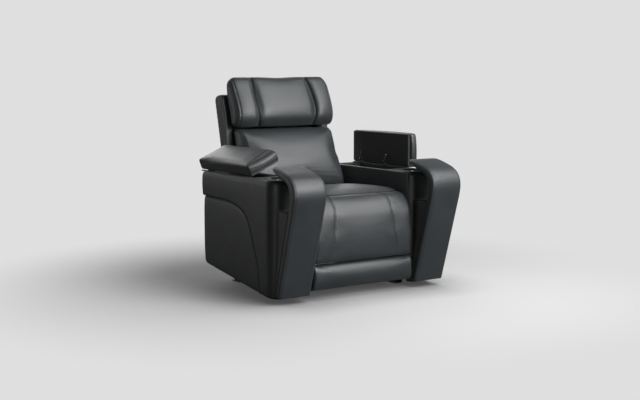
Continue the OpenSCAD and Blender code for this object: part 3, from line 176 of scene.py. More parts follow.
def splitForCamera(tree, bounced, seen, output):
    # the camera sees one shader, all other rays meet the other
    rays = addNode(tree, "ShaderNodeLightPath").outputs["Is Camera Ray"]
    pick = addNode(tree, "ShaderNodeMixShader", {0: rays, 1: bounced.outputs[0], 2: seen.outputs[0]})
    addNode(tree, output, {"Surface": pick.outputs[0]})


world = bpy.data.worlds.new("studio")
scene.world = world
world.use_nodes = True
worldTree = world.node_tree
worldTree.nodes.clear()
dim, pale = (addNode(worldTree, "ShaderNodeBackground", {"Color": tint, "Strength": strength})
             for tint, strength in ((studio["ambientTint"], studio["ambient"]),
                                    (colour(1, 1, 1), studio["backdrop"])))
splitForCamera(worldTree, dim, pale, "ShaderNodeOutputWorld")


# The floor near the chair carries painted light and shade: an ambient occlusion node darkens its colour as a
# painted contact shadow, and a small share of the backdrop glow is mixed in, painted light that lifts its shadows.
# Further out it fades into that even glow.
def floorMaterial():
    material = bpy.data.materials.new("pale floor")
    material.use_nodes = True
    tree = material.node_tree
    tree.nodes.clear()
    place = addNode(tree, "ShaderNodeTexCoord").outputs["Object"]
    far = addNode(tree, "ShaderNodeVectorMath", {0: place}, operation="LENGTH")
    fade = addNode(tree, "ShaderNodeMapRange", {
        "Value": far.outputs["Value"], "From Min": studio["fadeStart"], "From Max": studio["fadeEnd"],
        "To Min": studio["shadowLiftShare"]}, interpolation_type="SMOOTHSTEP")
    # painted contact shadow: the floor's colour is darkened where the chair hides it
    near = addNode(tree, "ShaderNodeAmbientOcclusion",
                   {"Color": colour(*[studio["floorTone"]] * 3), "Distance": studio["paintedShadowReach"]})
    lit = addNode(tree, "ShaderNodeBsdfDiffuse", {"Color": near.outputs["Color"]})
    dark = addNode(tree, "ShaderNodeBsdfDiffuse", {"Color": colour(*[studio["floorBounce"]] * 3)})
    glow = addNode(tree, "ShaderNodeEmission", {"Strength": studio["backdrop"]})
    seen = addNode(tree, "ShaderNodeMixShader",
                   {0: fade.outputs["Result"], 1: lit.outputs[0], 2: glow.outputs[0]})
    splitForCamera(tree, dark, seen, "ShaderNodeOutputMaterial")
    return material


floorMesh = bpy.data.meshes.new("floor")
floorShape = bmesh.new()
bmesh.ops.create_circle(floorShape, cap_ends=True, segments=96, radius=studio["floorRadius"])
floorShape.to_mesh(floorMesh)
floorShape.free()
floor = addObject("floor", floorMesh)
floor.data.materials.append(floorMaterial())
print("camera, floor and lights in place")

# Shader groups, used by several materials; scales are per metre

grainLook = {"warpScale": 90, "warp": 0.0022, "pebbleEdge": 0.32, "creaseScale": 46,
             "creaseWidth": 0.035, "poreScale": 2600, "pores": 0.25, "toneScale": 7, "wearScale": 19}


def leatherGrainGroup():
    # Pebbled grain, fine creases between the pebbles and slow changes of tone over the hide
    s = grainLook
    group, start, end = newTree("leather grain", "ShaderNodeTree", [
        ("Vector", "Vector", None), ("Pebbles per metre", "Float", 620.0), ("Creases", "Float", 0.35),
        ("Wear", "Float", 0.3)], [("Height", "Float"), ("Tone", "Float"), ("Polish", "Float")])
    vector = start["Vector"]
    warp = noiseNode(group, vector, s["warpScale"], output="Color")
    moved = addNode(group, "ShaderNodeVectorMath", {0: warp, 1: (s["warp"],) * 3, 2: vector},
                    operation="MULTIPLY_ADD").outputs[0]
    cells = addNode(group, "ShaderNodeTexVoronoi", {
        "Vector": moved, "Scale": start["Pebbles per metre"]}, feature="DISTANCE_TO_EDGE")
    pebble = rangeNode(group, cells.outputs["Distance"], 0.0, s["pebbleEdge"], 0.0, 1.0)
    folds = noiseNode(group, moved, s["creaseScale"], 3, 0.6)
    fold = mathNode(group, "ABSOLUTE", mathNode(group, "SUBTRACT", folds, 0.5))
    crease = rangeNode(group, fold, 0.0, s["creaseWidth"], 1.0, 0.0)
    height = mathNode(group, "SUBTRACT", pebble, mathNode(group, "MULTIPLY", crease, start["Creases"]))
    fine = mathNode(group, "MULTIPLY", noiseNode(group, vector, s["poreScale"], 2, 0.6), s["pores"])
    slow = noiseNode(group, vector, s["toneScale"], 4, 0.55)
    worn = rangeNode(group, noiseNode(group, vector, s["wearScale"], 5, 0.6), 0.45, 0.75, 0.0, 1.0)
    setInputs(group, end, {"Height": mathNode(group, "ADD", height, fine),
                           "Tone": rangeNode(group, slow, 0.3, 0.7, 0.0, 1.0),
                           "Polish": mathNode(group, "MULTIPLY", worn, start["Wear"])})
    return group


def scuffGroup():
    # Fine scratches in two directions and a film of dust
    group, start, end = newTree("scuffs and dust", "ShaderNodeTree", [
        ("Vector", "Vector", None), ("Scratch scale", "Float", 60.0), ("Dust scale", "Float", 14.0),
    ], [("Scratches", "Float"), ("Dust", "Float")])
    lines = []
    for turn, squeeze in ((0.5, (1, 24, 6)), (2.1, (20, 1, 9))):
        spin = scaledPlace(group, start["Vector"], squeeze, (0.3, turn, turn))
        streak = noiseNode(group, spin, start["Scratch scale"], 2, 0.7)
        lines.append(rangeNode(group, streak, 0.62, 0.72, 0.0, 1.0))
    film = noiseNode(group, start["Vector"], start["Dust scale"], 6, 0.65)
    setInputs(group, end, {"Scratches": mathNode(group, "MAXIMUM", *lines),
                           "Dust": rangeNode(group, film, 0.4, 0.7, 0.0, 1.0)})
    return group


def timberGroup():
    # Growth lines, plywood layers and pores
    group, start, end = newTree("timber figure", "ShaderNodeTree", [
        ("Vector", "Vector", None), ("Line scale", "Float", 42.0), ("Layer scale", "Float", 330.0),
    ], [("Lines", "Float"), ("Layers", "Float"), ("Pores", "Float")])
    stretch = scaledPlace(group, start["Vector"], (1, 0.12, 0.5))
    pores = noiseNode(group, stretch, 700, 3, 0.7)
    setInputs(group, end, {
        "Lines": waveNode(group, stretch, start["Line scale"], 6, 3, wave_type="RINGS"),
        "Layers": waveNode(group, start["Vector"], start["Layer scale"], 0.4, bands_direction="X"),
        "Pores": rangeNode(group, pores, 0.5, 0.75, 0.0, 1.0)})
    return group


leatherGrain = leatherGrainGroup()
scuffs = scuffGroup()
timberFigure = timberGroup()


def startMaterial(name):
    material = bpy.data.materials.new(name)
    material.use_nodes = True
    tree = material.node_tree
    return material, tree, addNode(tree, "ShaderNodeTexCoord").outputs["Object"]


def useGroup(tree, group, vector, inputs=None):
    inputs = {"Vector": vector, **(inputs or {})}
    return addNode(tree, "ShaderNodeGroup", inputs, node_tree=group).outputs


def finishMaterial(material, tint, rough, height, strength, depth, inputs=None):
    tree = material.node_tree
    bump = addNode(tree, "ShaderNodeBump", {"Strength": strength, "Distance": depth, "Height": height})
    setInputs(tree, tree.nodes["Principled BSDF"], {
        "Base Color": tint, "Roughness": rough, "Normal": bump.outputs["Normal"], **(inputs or {})})
    return material


leathers = {
    "seat_leather": {"dark": colour(0.016, 0.0202, 0.0225), "light": colour(0.0238, 0.0288, 0.0318),
                     "rough": (0.43, 0.35), "grain": 560.0, "creases": 0.3, "bump": 0.34, "coat": 0.2},
    "arm_leather": {"dark": colour(0.0145, 0.0167, 0.0183), "light": colour(0.0215, 0.0242, 0.0264),
                    "rough": (0.44, 0.36), "grain": 560.0, "creases": 0.25, "bump": 0.3, "coat": 0.2},
    # the fillers' leather is lighter than the other leathers: painted fill light for the recess behind each strap,
    # which lies in shade
    "recess_leather": {"dark": colour(0.029, 0.0302, 0.0275), "light": colour(0.039, 0.0402, 0.0372),
                       "rough": (0.6, 0.5), "grain": 760.0, "creases": 0.12, "bump": 0.2, "coat": 0.04},
}
# the valley setting is how dark the grain's valleys and creases are painted: painted shade
leatherFinish = {"coatRough": 0.34, "sheen": 0.06, "sheenRough": 0.5, "grainDepth": 0.0006,
                 "valleyShade": 0.72}


def leatherMaterial(name, look):
    s = leatherFinish
    material, tree, place = startMaterial(name.replace("_", " "))
    grain = useGroup(tree, leatherGrain, place, {"Pebbles per metre": look["grain"],
                                                 "Creases": look["creases"]})
    tint = mixNode(tree, grain["Tone"], look["dark"], look["light"])
    # the grain's valleys and creases are darker in colour: painted shade, over the bump's own shading
    valley = rangeNode(tree, grain["Height"], 0.0, 0.6, s["valleyShade"], 1.0)
    shade = addNode(tree, "ShaderNodeVectorMath", {0: tint, "Scale": valley}, operation="SCALE")
    rough = rangeNode(tree, grain["Polish"], 0.0, 0.3, *look["rough"])
    film = {"Coat Weight": look["coat"], "Coat Roughness": s["coatRough"], "Sheen Weight": s["sheen"],
            "Sheen Roughness": s["sheenRough"]}
    return finishMaterial(material, shade.outputs[0], rough, grain["Height"], look["bump"],
                          s["grainDepth"], film)


def threadMaterial():
    material, tree, place = startMaterial("waxed thread")
    twist = waveNode(tree, place, 900)
    tint = mixNode(tree, twist, colour(0.01, 0.011, 0.012), colour(0.02, 0.022, 0.024))
    return finishMaterial(material, tint, 0.55, twist, 0.4, 0.0002)


def timberMaterial():
    material, tree, place = startMaterial("plywood and timber")
    figure = useGroup(tree, timberFigure, place)
    tint = mixNode(tree, figure["Lines"], colour(0.56, 0.4, 0.235), colour(0.39, 0.25, 0.13))
    for marks, share, dark in (("Layers", 0.25, colour(0.3, 0.18, 0.09)),
                               ("Pores", 0.35, colour(0.2, 0.12, 0.06))):
        tint = mixNode(tree, rangeNode(tree, figure[marks], 0, 1, 0, share), tint, dark)
    rough = rangeNode(tree, figure["Lines"], 0, 1, 0.55, 0.72)
    return finishMaterial(material, tint, rough, figure["Pores"], 0.25, 0.0004)


def paintedTimberMaterial():
    # Black paint on the parts that a gap in the covers would show, thin over the plywood's layers; the black also
    # serves as painted shade in those gaps
    material, tree, place = startMaterial("black painted plywood")
    figure = useGroup(tree, timberFigure, place)
    marks = useGroup(tree, scuffs, place)
    tint = mixNode(tree, marks["Dust"], colour(0.011, 0.011, 0.0115), colour(0.019, 0.0185, 0.018))
    rough = rangeNode(tree, marks["Scratches"], 0, 1, 0.72, 0.58)
    relief = mathNode(tree, "ADD", figure["Layers"], figure["Pores"])
    return finishMaterial(material, tint, rough, relief, 0.2, 0.0004)


def webbingMaterial():
    material, tree, place = startMaterial("woven webbing")
    warp = waveNode(tree, place, 260, 0.6, bands_direction="X")
    weft = waveNode(tree, place, 190, 0.6, bands_direction="Z")
    weave = mathNode(tree, "MULTIPLY", warp, weft)
    tint = mixNode(tree, weave, colour(0.13, 0.1, 0.065), colour(0.34, 0.28, 0.19))
    return finishMaterial(material, tint, 0.85, weave, 0.6, 0.0006)


hardLooks = {
    # title, clean and worn colours, metallic, roughness clean and worn, peel per metre, bump
    "frame_steel": ("powder coated steel", colour(0.028, 0.029, 0.031), colour(0.075, 0.076, 0.078),
                    0.0, (0.48, 0.62), 900, 0.22),
    "bright_steel": ("zinc plated steel", colour(0.42, 0.43, 0.44), colour(0.3, 0.3, 0.29),
                     1.0, (0.3, 0.46), 420, 0.08),
    # a dark copy of the bright steel for the hinges: a blackened finish that is also painted shade, keeping them
    # as dark as the gaps they sit in
    "hinge_steel": ("blackened hinge steel", colour(0.035, 0.035, 0.036), colour(0.07, 0.07, 0.07),
                    0.4, (0.5, 0.62), 500, 0.1),
    "chrome_ring": ("polished chrome", colour(0.68, 0.69, 0.7), colour(0.55, 0.56, 0.57),
                    1.0, (0.07, 0.2), 160, 0.02),
    "black_plastic": ("matt black plastic", colour(0.014, 0.014, 0.015), colour(0.035, 0.035, 0.036),
                      0.0, (0.5, 0.66), 1500, 0.3),
    "drive_plastic": ("moulded drive plastic", colour(0.033, 0.034, 0.037), colour(0.06, 0.061, 0.064),
                      0.0, (0.42, 0.58), 1200, 0.25),
    "button_plastic": ("satin grey plastic", colour(0.42, 0.43, 0.44), colour(0.34, 0.345, 0.35),
                       0.0, (0.3, 0.42), 1400, 0.12),
    "lid_lining": ("smooth black lining", colour(0.012, 0.0125, 0.0115), colour(0.028, 0.029, 0.027),
                   0.0, (0.55, 0.7), 800, 0.25),
}


def hardMaterial(title, clean, worn, metallic, rough, peel, bump):
    material, tree, place = startMaterial(title)
    marks = useGroup(tree, scuffs, place)
    wear = mathNode(tree, "ADD", mathNode(tree, "MULTIPLY", marks["Scratches"], 0.45),
                    mathNode(tree, "MULTIPLY", marks["Dust"], 0.35))
    tint, gloss = mixNode(tree, wear, clean, worn), rangeNode(tree, wear, 0, 1, *rough)
    return finishMaterial(material, tint, gloss, noiseNode(tree, place, peel, 3, 0.6), bump, 0.0004,
                          {"Metallic": metallic})


materials = {slot: leatherMaterial(slot, look) for slot, look in leathers.items()}
materials["timber"] = timberMaterial()
materials["webbing"] = webbingMaterial()
for slot, look in hardLooks.items():
    materials[slot] = hardMaterial(*look)
thread = threadMaterial()
paintedTimber = paintedTimberMaterial()
# the hinges take the blackened steel in place of their bright steel, painted shade for the dark gaps under the
# lids
hingeNodes = ("lid_hinge_seats", "lid_leaves_left", "lid_leaves_right")
# these frame parts take the black paint instead of their timber; it also stands in as painted shade where gaps
# show them
paintedNodes = ("arm_frame_left", "arm_frame_right", "strap_blocks", "back_frame", "headrest_board",
                "leg_board", "foot_board")
for node, obj in frame["nodes"].items():
    obj.data.materials.clear()
    finish = paintedTimber if node in paintedNodes else materials[nodeSlot[node]]
    obj.data.materials.append(materials["hinge_steel"] if node in hingeNodes else finish)
print("materials made:", len(bpy.data.materials))

# Curves


def smoothCurve(points, count):
    # Catmull-Rom through given points
    p = np.array(points, float)
    last = len(p) - 1
    curve = []
    for u in np.linspace(0, last, count):
        i = min(int(u), last - 1)
        t = u - i
        a, b, c, d = p[max(i - 1, 0)], p[i], p[i + 1], p[min(i + 2, last)]
        curve.append((2 * b + (c - a) * t + (2 * a - 5 * b + 4 * c - d) * t * t
                      + (3 * b - a - 3 * c + d) * t ** 3) / 2)
    return np.array(curve)


def runOf(path):
    return np.concatenate([[0], np.cumsum(np.linalg.norm(np.diff(path, axis=0), axis=1))])


def evenly(path, count):
    path = np.array(path, float)
    run = runOf(path)
    want = np.linspace(0, run[-1], count)
    return np.stack([np.interp(want, run, path[:, k]) for k in range(path.shape[1])], 1)


def spaced(line, step):
    return evenly(line, max(12, int(runOf(np.array(line))[-1] / step)))


def pointOn(path, share):
    # path is evenly spaced; share runs from 0 to 1
    u = np.asarray(share) * (len(path) - 1)
    return np.stack([np.interp(u, np.arange(len(path)), path[:, k]) for k in range(path.shape[1])], -1)


def spread(shares, origin, size):
    # shares of a size, as places counted from its origin
    return [(origin[0] + a * size[0], origin[1] + b * size[1]) for a, b in shares]


def placed(shares, origin, size, count):
    return evenly(smoothCurve(spread(shares, origin, size), 400), count)


def arcOf(centre, radius, start, stop, count):
    turn = np.radians(np.linspace(start, stop, count))
    return np.stack([centre[0] + radius * np.cos(turn), centre[1] + radius * np.sin(turn)], 1)


def sideways(path):
    # Unit normals of a flat path, to the right of its direction
    along = np.gradient(path, axis=0)
    along /= np.linalg.norm(along, axis=1)[:, None]
    return np.stack([along[:, 1], -along[:, 0]], 1)


# Meshes


def newPiece(name, points, faces, material):
    mesh = bpy.data.meshes.new(name)
    mesh.from_pydata([tuple(p) for p in points], [], [tuple(int(i) for i in f) for f in faces])
    shape = bmesh.new()
    shape.from_mesh(mesh)
    bmesh.ops.recalc_face_normals(shape, faces=shape.faces)
    shape.to_mesh(mesh)
    shape.free()
    mesh.shade_smooth()
    mesh.materials.append(material)
    return addObject(name, mesh)


def getPoints(piece, field="co"):
    points = np.zeros(len(piece.data.vertices) * 3)
    piece.data.vertices.foreach_get(field, points)
    return points.reshape(-1, 3)


def getNormals(piece):
    return getPoints(piece, "normal")


def setPoints(piece, points):
    piece.data.vertices.foreach_set("co", np.ascontiguousarray(points, dtype=float).ravel())
    piece.data.update()


def bakeModifiers(piece):
    graph = bpy.context.evaluated_depsgraph_get()
    graph.update()
    old = piece.data
    piece.data = bpy.data.meshes.new_from_object(piece.evaluated_get(graph))
    piece.modifiers.clear()
    bpy.data.meshes.remove(old)
    piece.data.shade_smooth()


def remesh(piece, voxel):
    modifier = piece.modifiers.new("even skin", "REMESH")
    modifier.mode = "VOXEL"
    modifier.voxel_size = voxel
    bakeModifiers(piece)


def subdivide(piece):
    modifier = piece.modifiers.new("subdivision", "SUBSURF")
    modifier.levels = modifier.render_levels = 1
    bakeModifiers(piece)


def joinPieces(name, pieces):
    points, faces = [], []
    for piece in pieces:
        first = len(points)
        points += [tuple(v.co) for v in piece.data.vertices]
        faces += [[first + i for i in p.vertices] for p in piece.data.polygons]
    material = pieces[0].data.materials[0]
    for piece in pieces:
        bpy.data.objects.remove(piece)
    return newPiece(name, points, faces, material)


def padGrid(front, rear, half, edge, crown=0.0, waist=0.0, channels=(), rings=70):
    # A padded form that runs across X between a front and a rear path; its ends are rounded by edge
    n = len(front)
    u = np.linspace(0, 1, n)
    length = runOf(front)[-1]
    ends = half - edge * (1 - np.sin(np.linspace(0, math.pi / 2, 10)))
    middle = np.linspace(-(half - edge), half - edge, rings)[1:-1]
    places = np.concatenate([-ends[::-1], middle, ends])
    normal = sideways(front)
    flip = np.sign(np.sum(normal * (front - rear), axis=1).mean())
    loops = []
    for x in places:
        over = max(0.0, abs(x) - (half - edge))
        inset = edge - math.sqrt(max(0.0, edge ** 2 - over ** 2))
        slide = min(inset / length, 0.45)
        at = slide + u * (1 - 2 * slide)
        a, b, out = pointOn(front, at), pointOn(rear, at), pointOn(normal, at) * flip
        gap = b - a
        thick = np.linalg.norm(gap, axis=1)
        draw = np.minimum(inset / thick, 0.4)[:, None]
        weight = np.sin(math.pi * u)
        lift = weight * (crown(x) if callable(crown) else crown * (1 - (x / half) ** 2))
        for channel in channels:
            lift = lift - channel["depth"] * np.sqrt(weight) * np.exp(
                -((abs(x) - channel["at"](u)) / channel["width"]) ** 2)
        pull = np.sign(x) * waist * weight * (abs(x) / half) ** 6
        a, b = a + gap * draw + out * lift[:, None], b - gap * draw
        across = np.concatenate([x - pull, (x - pull)[::-1]])
        loops.append(np.column_stack([across, np.concatenate([a, b[::-1]])]))
    return np.array(loops)


def gridFaces(rows, columns):
    r, c = np.meshgrid(np.arange(rows - 1), np.arange(columns), indexing="ij")
    a = r * columns + c
    b = r * columns + (c + 1) % columns
    return np.stack([a, b, b + columns, a + columns], -1).reshape(-1, 4)


def padPiece(name, loops, material):
    rows, columns = loops.shape[:2]
    half = columns // 2
    faces = gridFaces(rows, columns).tolist()
    for base in (0, (rows - 1) * columns):
        for i in range(half - 1):
            faces.append([base + i, base + i + 1, base + columns - 2 - i, base + columns - 1 - i])
    return newPiece(name, loops.reshape(-1, 3), faces, material)


# Upholstered panels: a flat outline is filled, rounded at its border and bent along a path


def insideOutline(points, outline):
    x, y = points[:, 0][:, None], points[:, 1][:, None]
    x0, y0 = outline[:, 0], outline[:, 1]
    x1, y1 = np.roll(x0, -1), np.roll(y0, -1)
    rise = np.where(y1 == y0, 1e-12, y1 - y0)
    crosses = ((y0 > y) != (y1 > y)) & (x < (x1 - x0) * (y - y0) / rise + x0)
    return crosses.sum(1) % 2 == 1


def borderDistance(points, outline):
    a = outline
    d = np.roll(outline, -1, axis=0) - a
    size = np.maximum((d ** 2).sum(1), 1e-16)
    best = np.full(len(points), 1e9)
    for start in range(0, len(points), 2000):
        p = points[start:start + 2000, None, :]
        t = np.clip(((p - a) * d).sum(2) / size, 0, 1)
        gap = p - (a + t[..., None] * d)
        best[start:start + 2000] = np.sqrt((gap ** 2).sum(2)).min(1)
    return best


def closedEvenly(outline, spacing):
    ring = np.vstack([outline, outline[:1]])
    count = max(8, int(runOf(ring)[-1] / spacing))
    return evenly(ring, count + 1)[:-1]


def sheetPiece(name, outline, bend, thick, edge, crown, material, holes=(), spacing=0.009,
               holeEdge=0.002, reachAt=None):
    # bend(u, v, n) puts a point of the flat panel, at height n above it, in its place; the border
    # drops by edge, over the reach that reachAt gives for each point
    border = closedEvenly(outline, spacing * 0.55)
    rings = [border] + [closedEvenly(hole, spacing * 0.4) for hole in holes]
    inner = []
    for ring, reach in [(border, edge)] + [(ring, holeEdge) for ring in rings[1:]]:
        out = sideways(np.vstack([ring[-1:], ring, ring[:1]]))[1:-1]
        for share in (0.12, 0.32, 0.6, 1.0, 1.5):
            for side in (1, -1):
                inner.append(ring + out * side * reach * share)
    low, high = border.min(0), border.max(0)
    grid = np.stack(np.meshgrid(np.arange(low[0], high[0], spacing),
                                np.arange(low[1], high[1], spacing * 0.87), indexing="ij"), -1)
    grid[:, 1::2, 0] += spacing / 2
    inner.append(grid.reshape(-1, 2))
    extra = np.vstack(inner)
    keep = insideOutline(extra, border)
    for ring in rings[1:]:
        keep &= ~insideOutline(extra, ring)
    extra = extra[keep]
    near = borderDistance(extra, border)
    for ring in rings[1:]:
        near = np.minimum(near, borderDistance(extra, ring))
    extra = extra[near > min(edge, holeEdge if holes else edge) * 0.1]
    # thin out points that lie on each other
    cell = np.round(extra / (spacing * 0.16)).astype(int)
    _, first = np.unique(cell, axis=0, return_index=True)
    extra = extra[np.sort(first)]
    flat = np.vstack(rings + [extra])
    edges, start = [], 0
    for ring in rings:
        count = len(ring)
        edges += [(start + i, start + (i + 1) % count) for i in range(count)]
        start += count
    verts, _, tris, *_ = delaunay_2d_cdt([Vector(p) for p in flat], edges, [], 0, 1e-7)
    flat = np.array([tuple(v) for v in verts])
    tris = np.array([t for t in tris if len(t) == 3])
    middle = flat[tris].mean(1)
    good = insideOutline(middle, border)
    for ring in rings[1:]:
        good &= ~insideOutline(middle, ring)
    tris = tris[good]
    used = np.unique(tris)
    renumber = np.full(len(flat), -1)
    renumber[used] = np.arange(len(used))
    flat, tris = flat[used], renumber[tris]
    far = borderDistance(flat, border)
    reach = reachAt(flat) if reachAt else edge
    inward = np.minimum(far / reach, 1)
    height = edge * (np.sqrt(np.maximum(1 - (1 - inward) ** 2, 0)) - 1)
    height += crown * (1 - np.exp(-far / 0.03))
    for ring in rings[1:]:
        close = np.minimum(borderDistance(flat, ring), holeEdge)
        height = np.minimum(height, height - holeEdge + np.sqrt(
            np.maximum(holeEdge ** 2 - (holeEdge - close) ** 2, 0)))
    top = bend(flat[:, 0], flat[:, 1], height)
    under = bend(flat[:, 0], flat[:, 1], np.full(len(flat), -thick))
    count = len(flat)
    sides = {}
    for a, b, c in tris.tolist():
        for p, q in ((a, b), (b, c), (c, a)):
            if (q, p) in sides:
                del sides[(q, p)]
            else:
                sides[(p, q)] = True
    faces = tris.tolist() + (tris[:, ::-1] + count).tolist()
    faces += [[q, p, p + count, q + count] for p, q in sides]
    return newPiece(name, np.vstack([top, under]), faces, material)


# Cloth: every cushion swells at once, held where it rests on its board and along its sewn channels

swelling = []
clothSetup = {"pressure": 4.0, "frames": 20, "voxel": 0.006, "mass": 0.3, "tension": 15,
              "compression": 12, "shear": 5, "damping": 2, "quality": 6}


def evened(piece, step, still, passes):
    # Spreads each vertex's swelling over its neighbours, so only the large forms are left
    edges = np.zeros(len(piece.data.edges) * 2, dtype=np.int32)
    piece.data.edges.foreach_get("vertices", edges)
    a, b = edges.reshape(-1, 2).T
    count = len(step)
    near = np.maximum(np.bincount(a, minlength=count) + np.bincount(b, minlength=count), 1)
    for _ in range(passes):
        for k in range(3):
            total = (np.bincount(a, weights=step[b, k], minlength=count)
                     + np.bincount(b, weights=step[a, k], minlength=count))
            step[:, k] = (step[:, k] + total / near) / 2
        step[still] = 0
    return step


def swell(piece, held, look, limit=None, pressure=1.0, voxel=None, passes=6, stiff=0.4):
    # limit keeps the swelled points in their place; the look's widest does so across X
    s = clothSetup
    remesh(piece, voxel or s["voxel"])
    start = getPoints(piece)
    still = held(start)
    swelling.append((piece, start, still, look, limit, passes))
    group = piece.vertex_groups.new(name="held")
    for index in np.nonzero(still)[0]:
        group.add([int(index)], 1.0, "REPLACE")
    cloth = piece.modifiers.new("padding", "CLOTH")
    settings = cloth.settings
    settings.quality = s["quality"]
    settings.mass = s["mass"]
    settings.tension_stiffness = s["tension"]
    settings.compression_stiffness = s["compression"]
    settings.shear_stiffness = s["shear"]
    settings.bending_stiffness = stiff
    settings.air_damping = s["damping"]
    settings.use_pressure = True
    settings.uniform_pressure_force = s["pressure"] * pressure
    settings.effector_weights.gravity = 0
    settings.vertex_group_mass = "held"
    cloth.collision_settings.use_collision = False
    cloth.point_cache.frame_start = 1
    cloth.point_cache.frame_end = s["frames"]


def runCloth():
    for step in range(1, clothSetup["frames"] + 1):
        scene.frame_set(step)
    graph = bpy.context.evaluated_depsgraph_get()
    for piece, start, still, look, limit, passes in swelling:
        points = start
        moved = piece.evaluated_get(graph).data
        points = np.zeros(len(moved.vertices) * 3)
        moved.vertices.foreach_get("co", points)
        step = points.reshape(-1, 3) - start
        size = np.linalg.norm(step, axis=1)
        print("  %s swelled by up to %.1f mm" % (piece.name, size.max() * 1000))
        step *= np.minimum(1, look["swellCap"] / np.maximum(size, 1e-9))[:, None]
        points = start + evened(piece, step, still, passes)
        if "widest" in look:
            points[:, 0] = np.clip(points[:, 0], -look["widest"], look["widest"])
        if limit is not None:
            points = limit(points)
        piece.modifiers.clear()
        piece.vertex_groups.clear()
        setPoints(piece, points)
        subdivide(piece)
    scene.frame_set(1)


# Seams: folds pressed into the padding along a line, with small gathers beside it


def steadied(line, spread):
    # A running mean along the line, with its ends kept
    line = np.array(line)
    padded = np.vstack([line[:1]] * spread + [line] + [line[-1:]] * spread)
    kernel = np.hanning(spread * 2 + 3)[1:-1]
    kernel /= kernel.sum()
    return np.stack([np.convolve(padded[:, k], kernel, "valid") for k in range(3)], 1)


def sewFold(piece, line, depth, width, gather, pitch, reach):
    line = steadied(spaced(line, 0.002), 9)
    run = runOf(line)
    tree = KDTree(len(line))
    for i, p in enumerate(line):
        tree.insert(p, i)
    tree.balance()
    points, normals = getPoints(piece), getNormals(piece)
    low, high = line.min(0) - reach * 2, line.max(0) + reach * 2
    for index in np.nonzero(((points > low) & (points < high)).all(1))[0]:
        _, nearest, gap = tree.find(points[index])
        if gap > reach * 2:
            continue
        press = depth * math.exp(-(gap / width) ** 2)
        s = run[nearest]
        wave = math.sin(s / pitch * 6.283 + 1.7 * math.sin(s * 41)) * (0.6 + 0.4 * math.sin(s * 97 + 1))
        pucker = gather * wave * math.exp(-((gap - reach * 0.45) / (reach * 0.5)) ** 2)
        points[index] += normals[index] * (pucker - press)
    setPoints(piece, points)


def onSurface(piece, line, lift=0.0):
    mesh = piece.data
    tree = BVHTree.FromPolygons([v.co for v in mesh.vertices], [p.vertices for p in mesh.polygons])
    spots, ups = [], []
    for p in line:
        spot, up, _, _ = tree.find_nearest(Vector(p))
        spots.append(np.array(spot + up * lift))
        ups.append(np.array(up))
    return np.array(spots), np.array(ups)


sewingLines = {}
weltLines = {}


def stitchAlong(body, piece, line, offset=0.0, lift=0.0004):
    # Queues a row of stitches on a piece, moved sideways by offset on its surface
    spots, ups = onSurface(piece, spaced(line, 0.006))
    if offset:
        along = np.gradient(spots, axis=0)
        side = np.cross(along, ups)
        side /= np.maximum(np.linalg.norm(side, axis=1), 1e-9)[:, None]
        spots, ups = onSurface(piece, spots + side * offset, lift)
    else:
        spots = spots + ups * lift
    sewingLines.setdefault(body, []).append((spots, ups))


def weltAlong(body, slot, line, radius):
    weltLines.setdefault((body, slot, radius), []).append(np.array(line))


def lineMesh(name, lines):
    mesh = bpy.data.meshes.new(name)
    points, edges, ups = [], [], []
    for spots, up in lines:
        first = len(points)
        points += [tuple(p) for p in spots]
        ups += [tuple(p) for p in up]
        edges += [(i, i + 1) for i in range(first, len(points) - 1)]
    mesh.from_pydata(points, edges, [])
    if ups:
        attribute = mesh.attributes.new("up", "FLOAT_VECTOR", "POINT")
        attribute.data.foreach_set("vector", np.array(ups, float).ravel())
    return addObject(name, mesh)


def lineTree(name, spacing, inputs):
    # A geometry tree that starts with the lines, cut at an even spacing
    tree, start, end = newTree(name, "GeometryNodeTree", [
        ("Geometry", "Geometry", None), *inputs, ("Material", "Material", None),
    ], [("Geometry", "Geometry")])
    curve = addNode(tree, "GeometryNodeMeshToCurve", {"Mesh": start["Geometry"]}).outputs["Curve"]
    cuts = addNode(tree, "GeometryNodeResampleCurve", {"Curve": curve, "Length": start[spacing]},
                   mode="LENGTH")
    return tree, start, end, cuts.outputs["Curve"]


def paintTree(tree, start, end, grown):
    real = addNode(tree, "GeometryNodeRealizeInstances", {"Geometry": grown}).outputs["Geometry"]
    paint = addNode(tree, "GeometryNodeSetMaterial", {"Geometry": real, "Material": start["Material"]})
    setInputs(tree, end, {"Geometry": paint.outputs["Geometry"]})
    return tree


def stitchTree():
    tree, start, end, cuts = lineTree("row of stitches", "Pitch", [
        ("Pitch", "Float", 0.0055), ("Length", "Float", 0.0038), ("Width", "Float", 0.0009)])
    tangent = addNode(tree, "GeometryNodeInputTangent").outputs[0]
    up = addNode(tree, "GeometryNodeInputNamedAttribute", {"Name": "up"}, data_type="FLOAT_VECTOR")
    turn = addNode(tree, "FunctionNodeAxesToRotation", {0: tangent, 1: up.outputs["Attribute"]},
                   primary_axis="X", secondary_axis="Z").outputs[0]
    ball = addNode(tree, "GeometryNodeMeshUVSphere", {"Segments": 6, "Rings": 4, "Radius": 0.5})
    size = addNode(tree, "ShaderNodeCombineXYZ",
                   {"X": start["Length"], "Y": start["Width"], "Z": start["Width"]}).outputs[0]
    put = addNode(tree, "GeometryNodeInstanceOnPoints", {
        "Points": cuts, "Instance": ball.outputs["Mesh"], "Rotation": turn, "Scale": size})
    return paintTree(tree, start, end, put.outputs["Instances"])


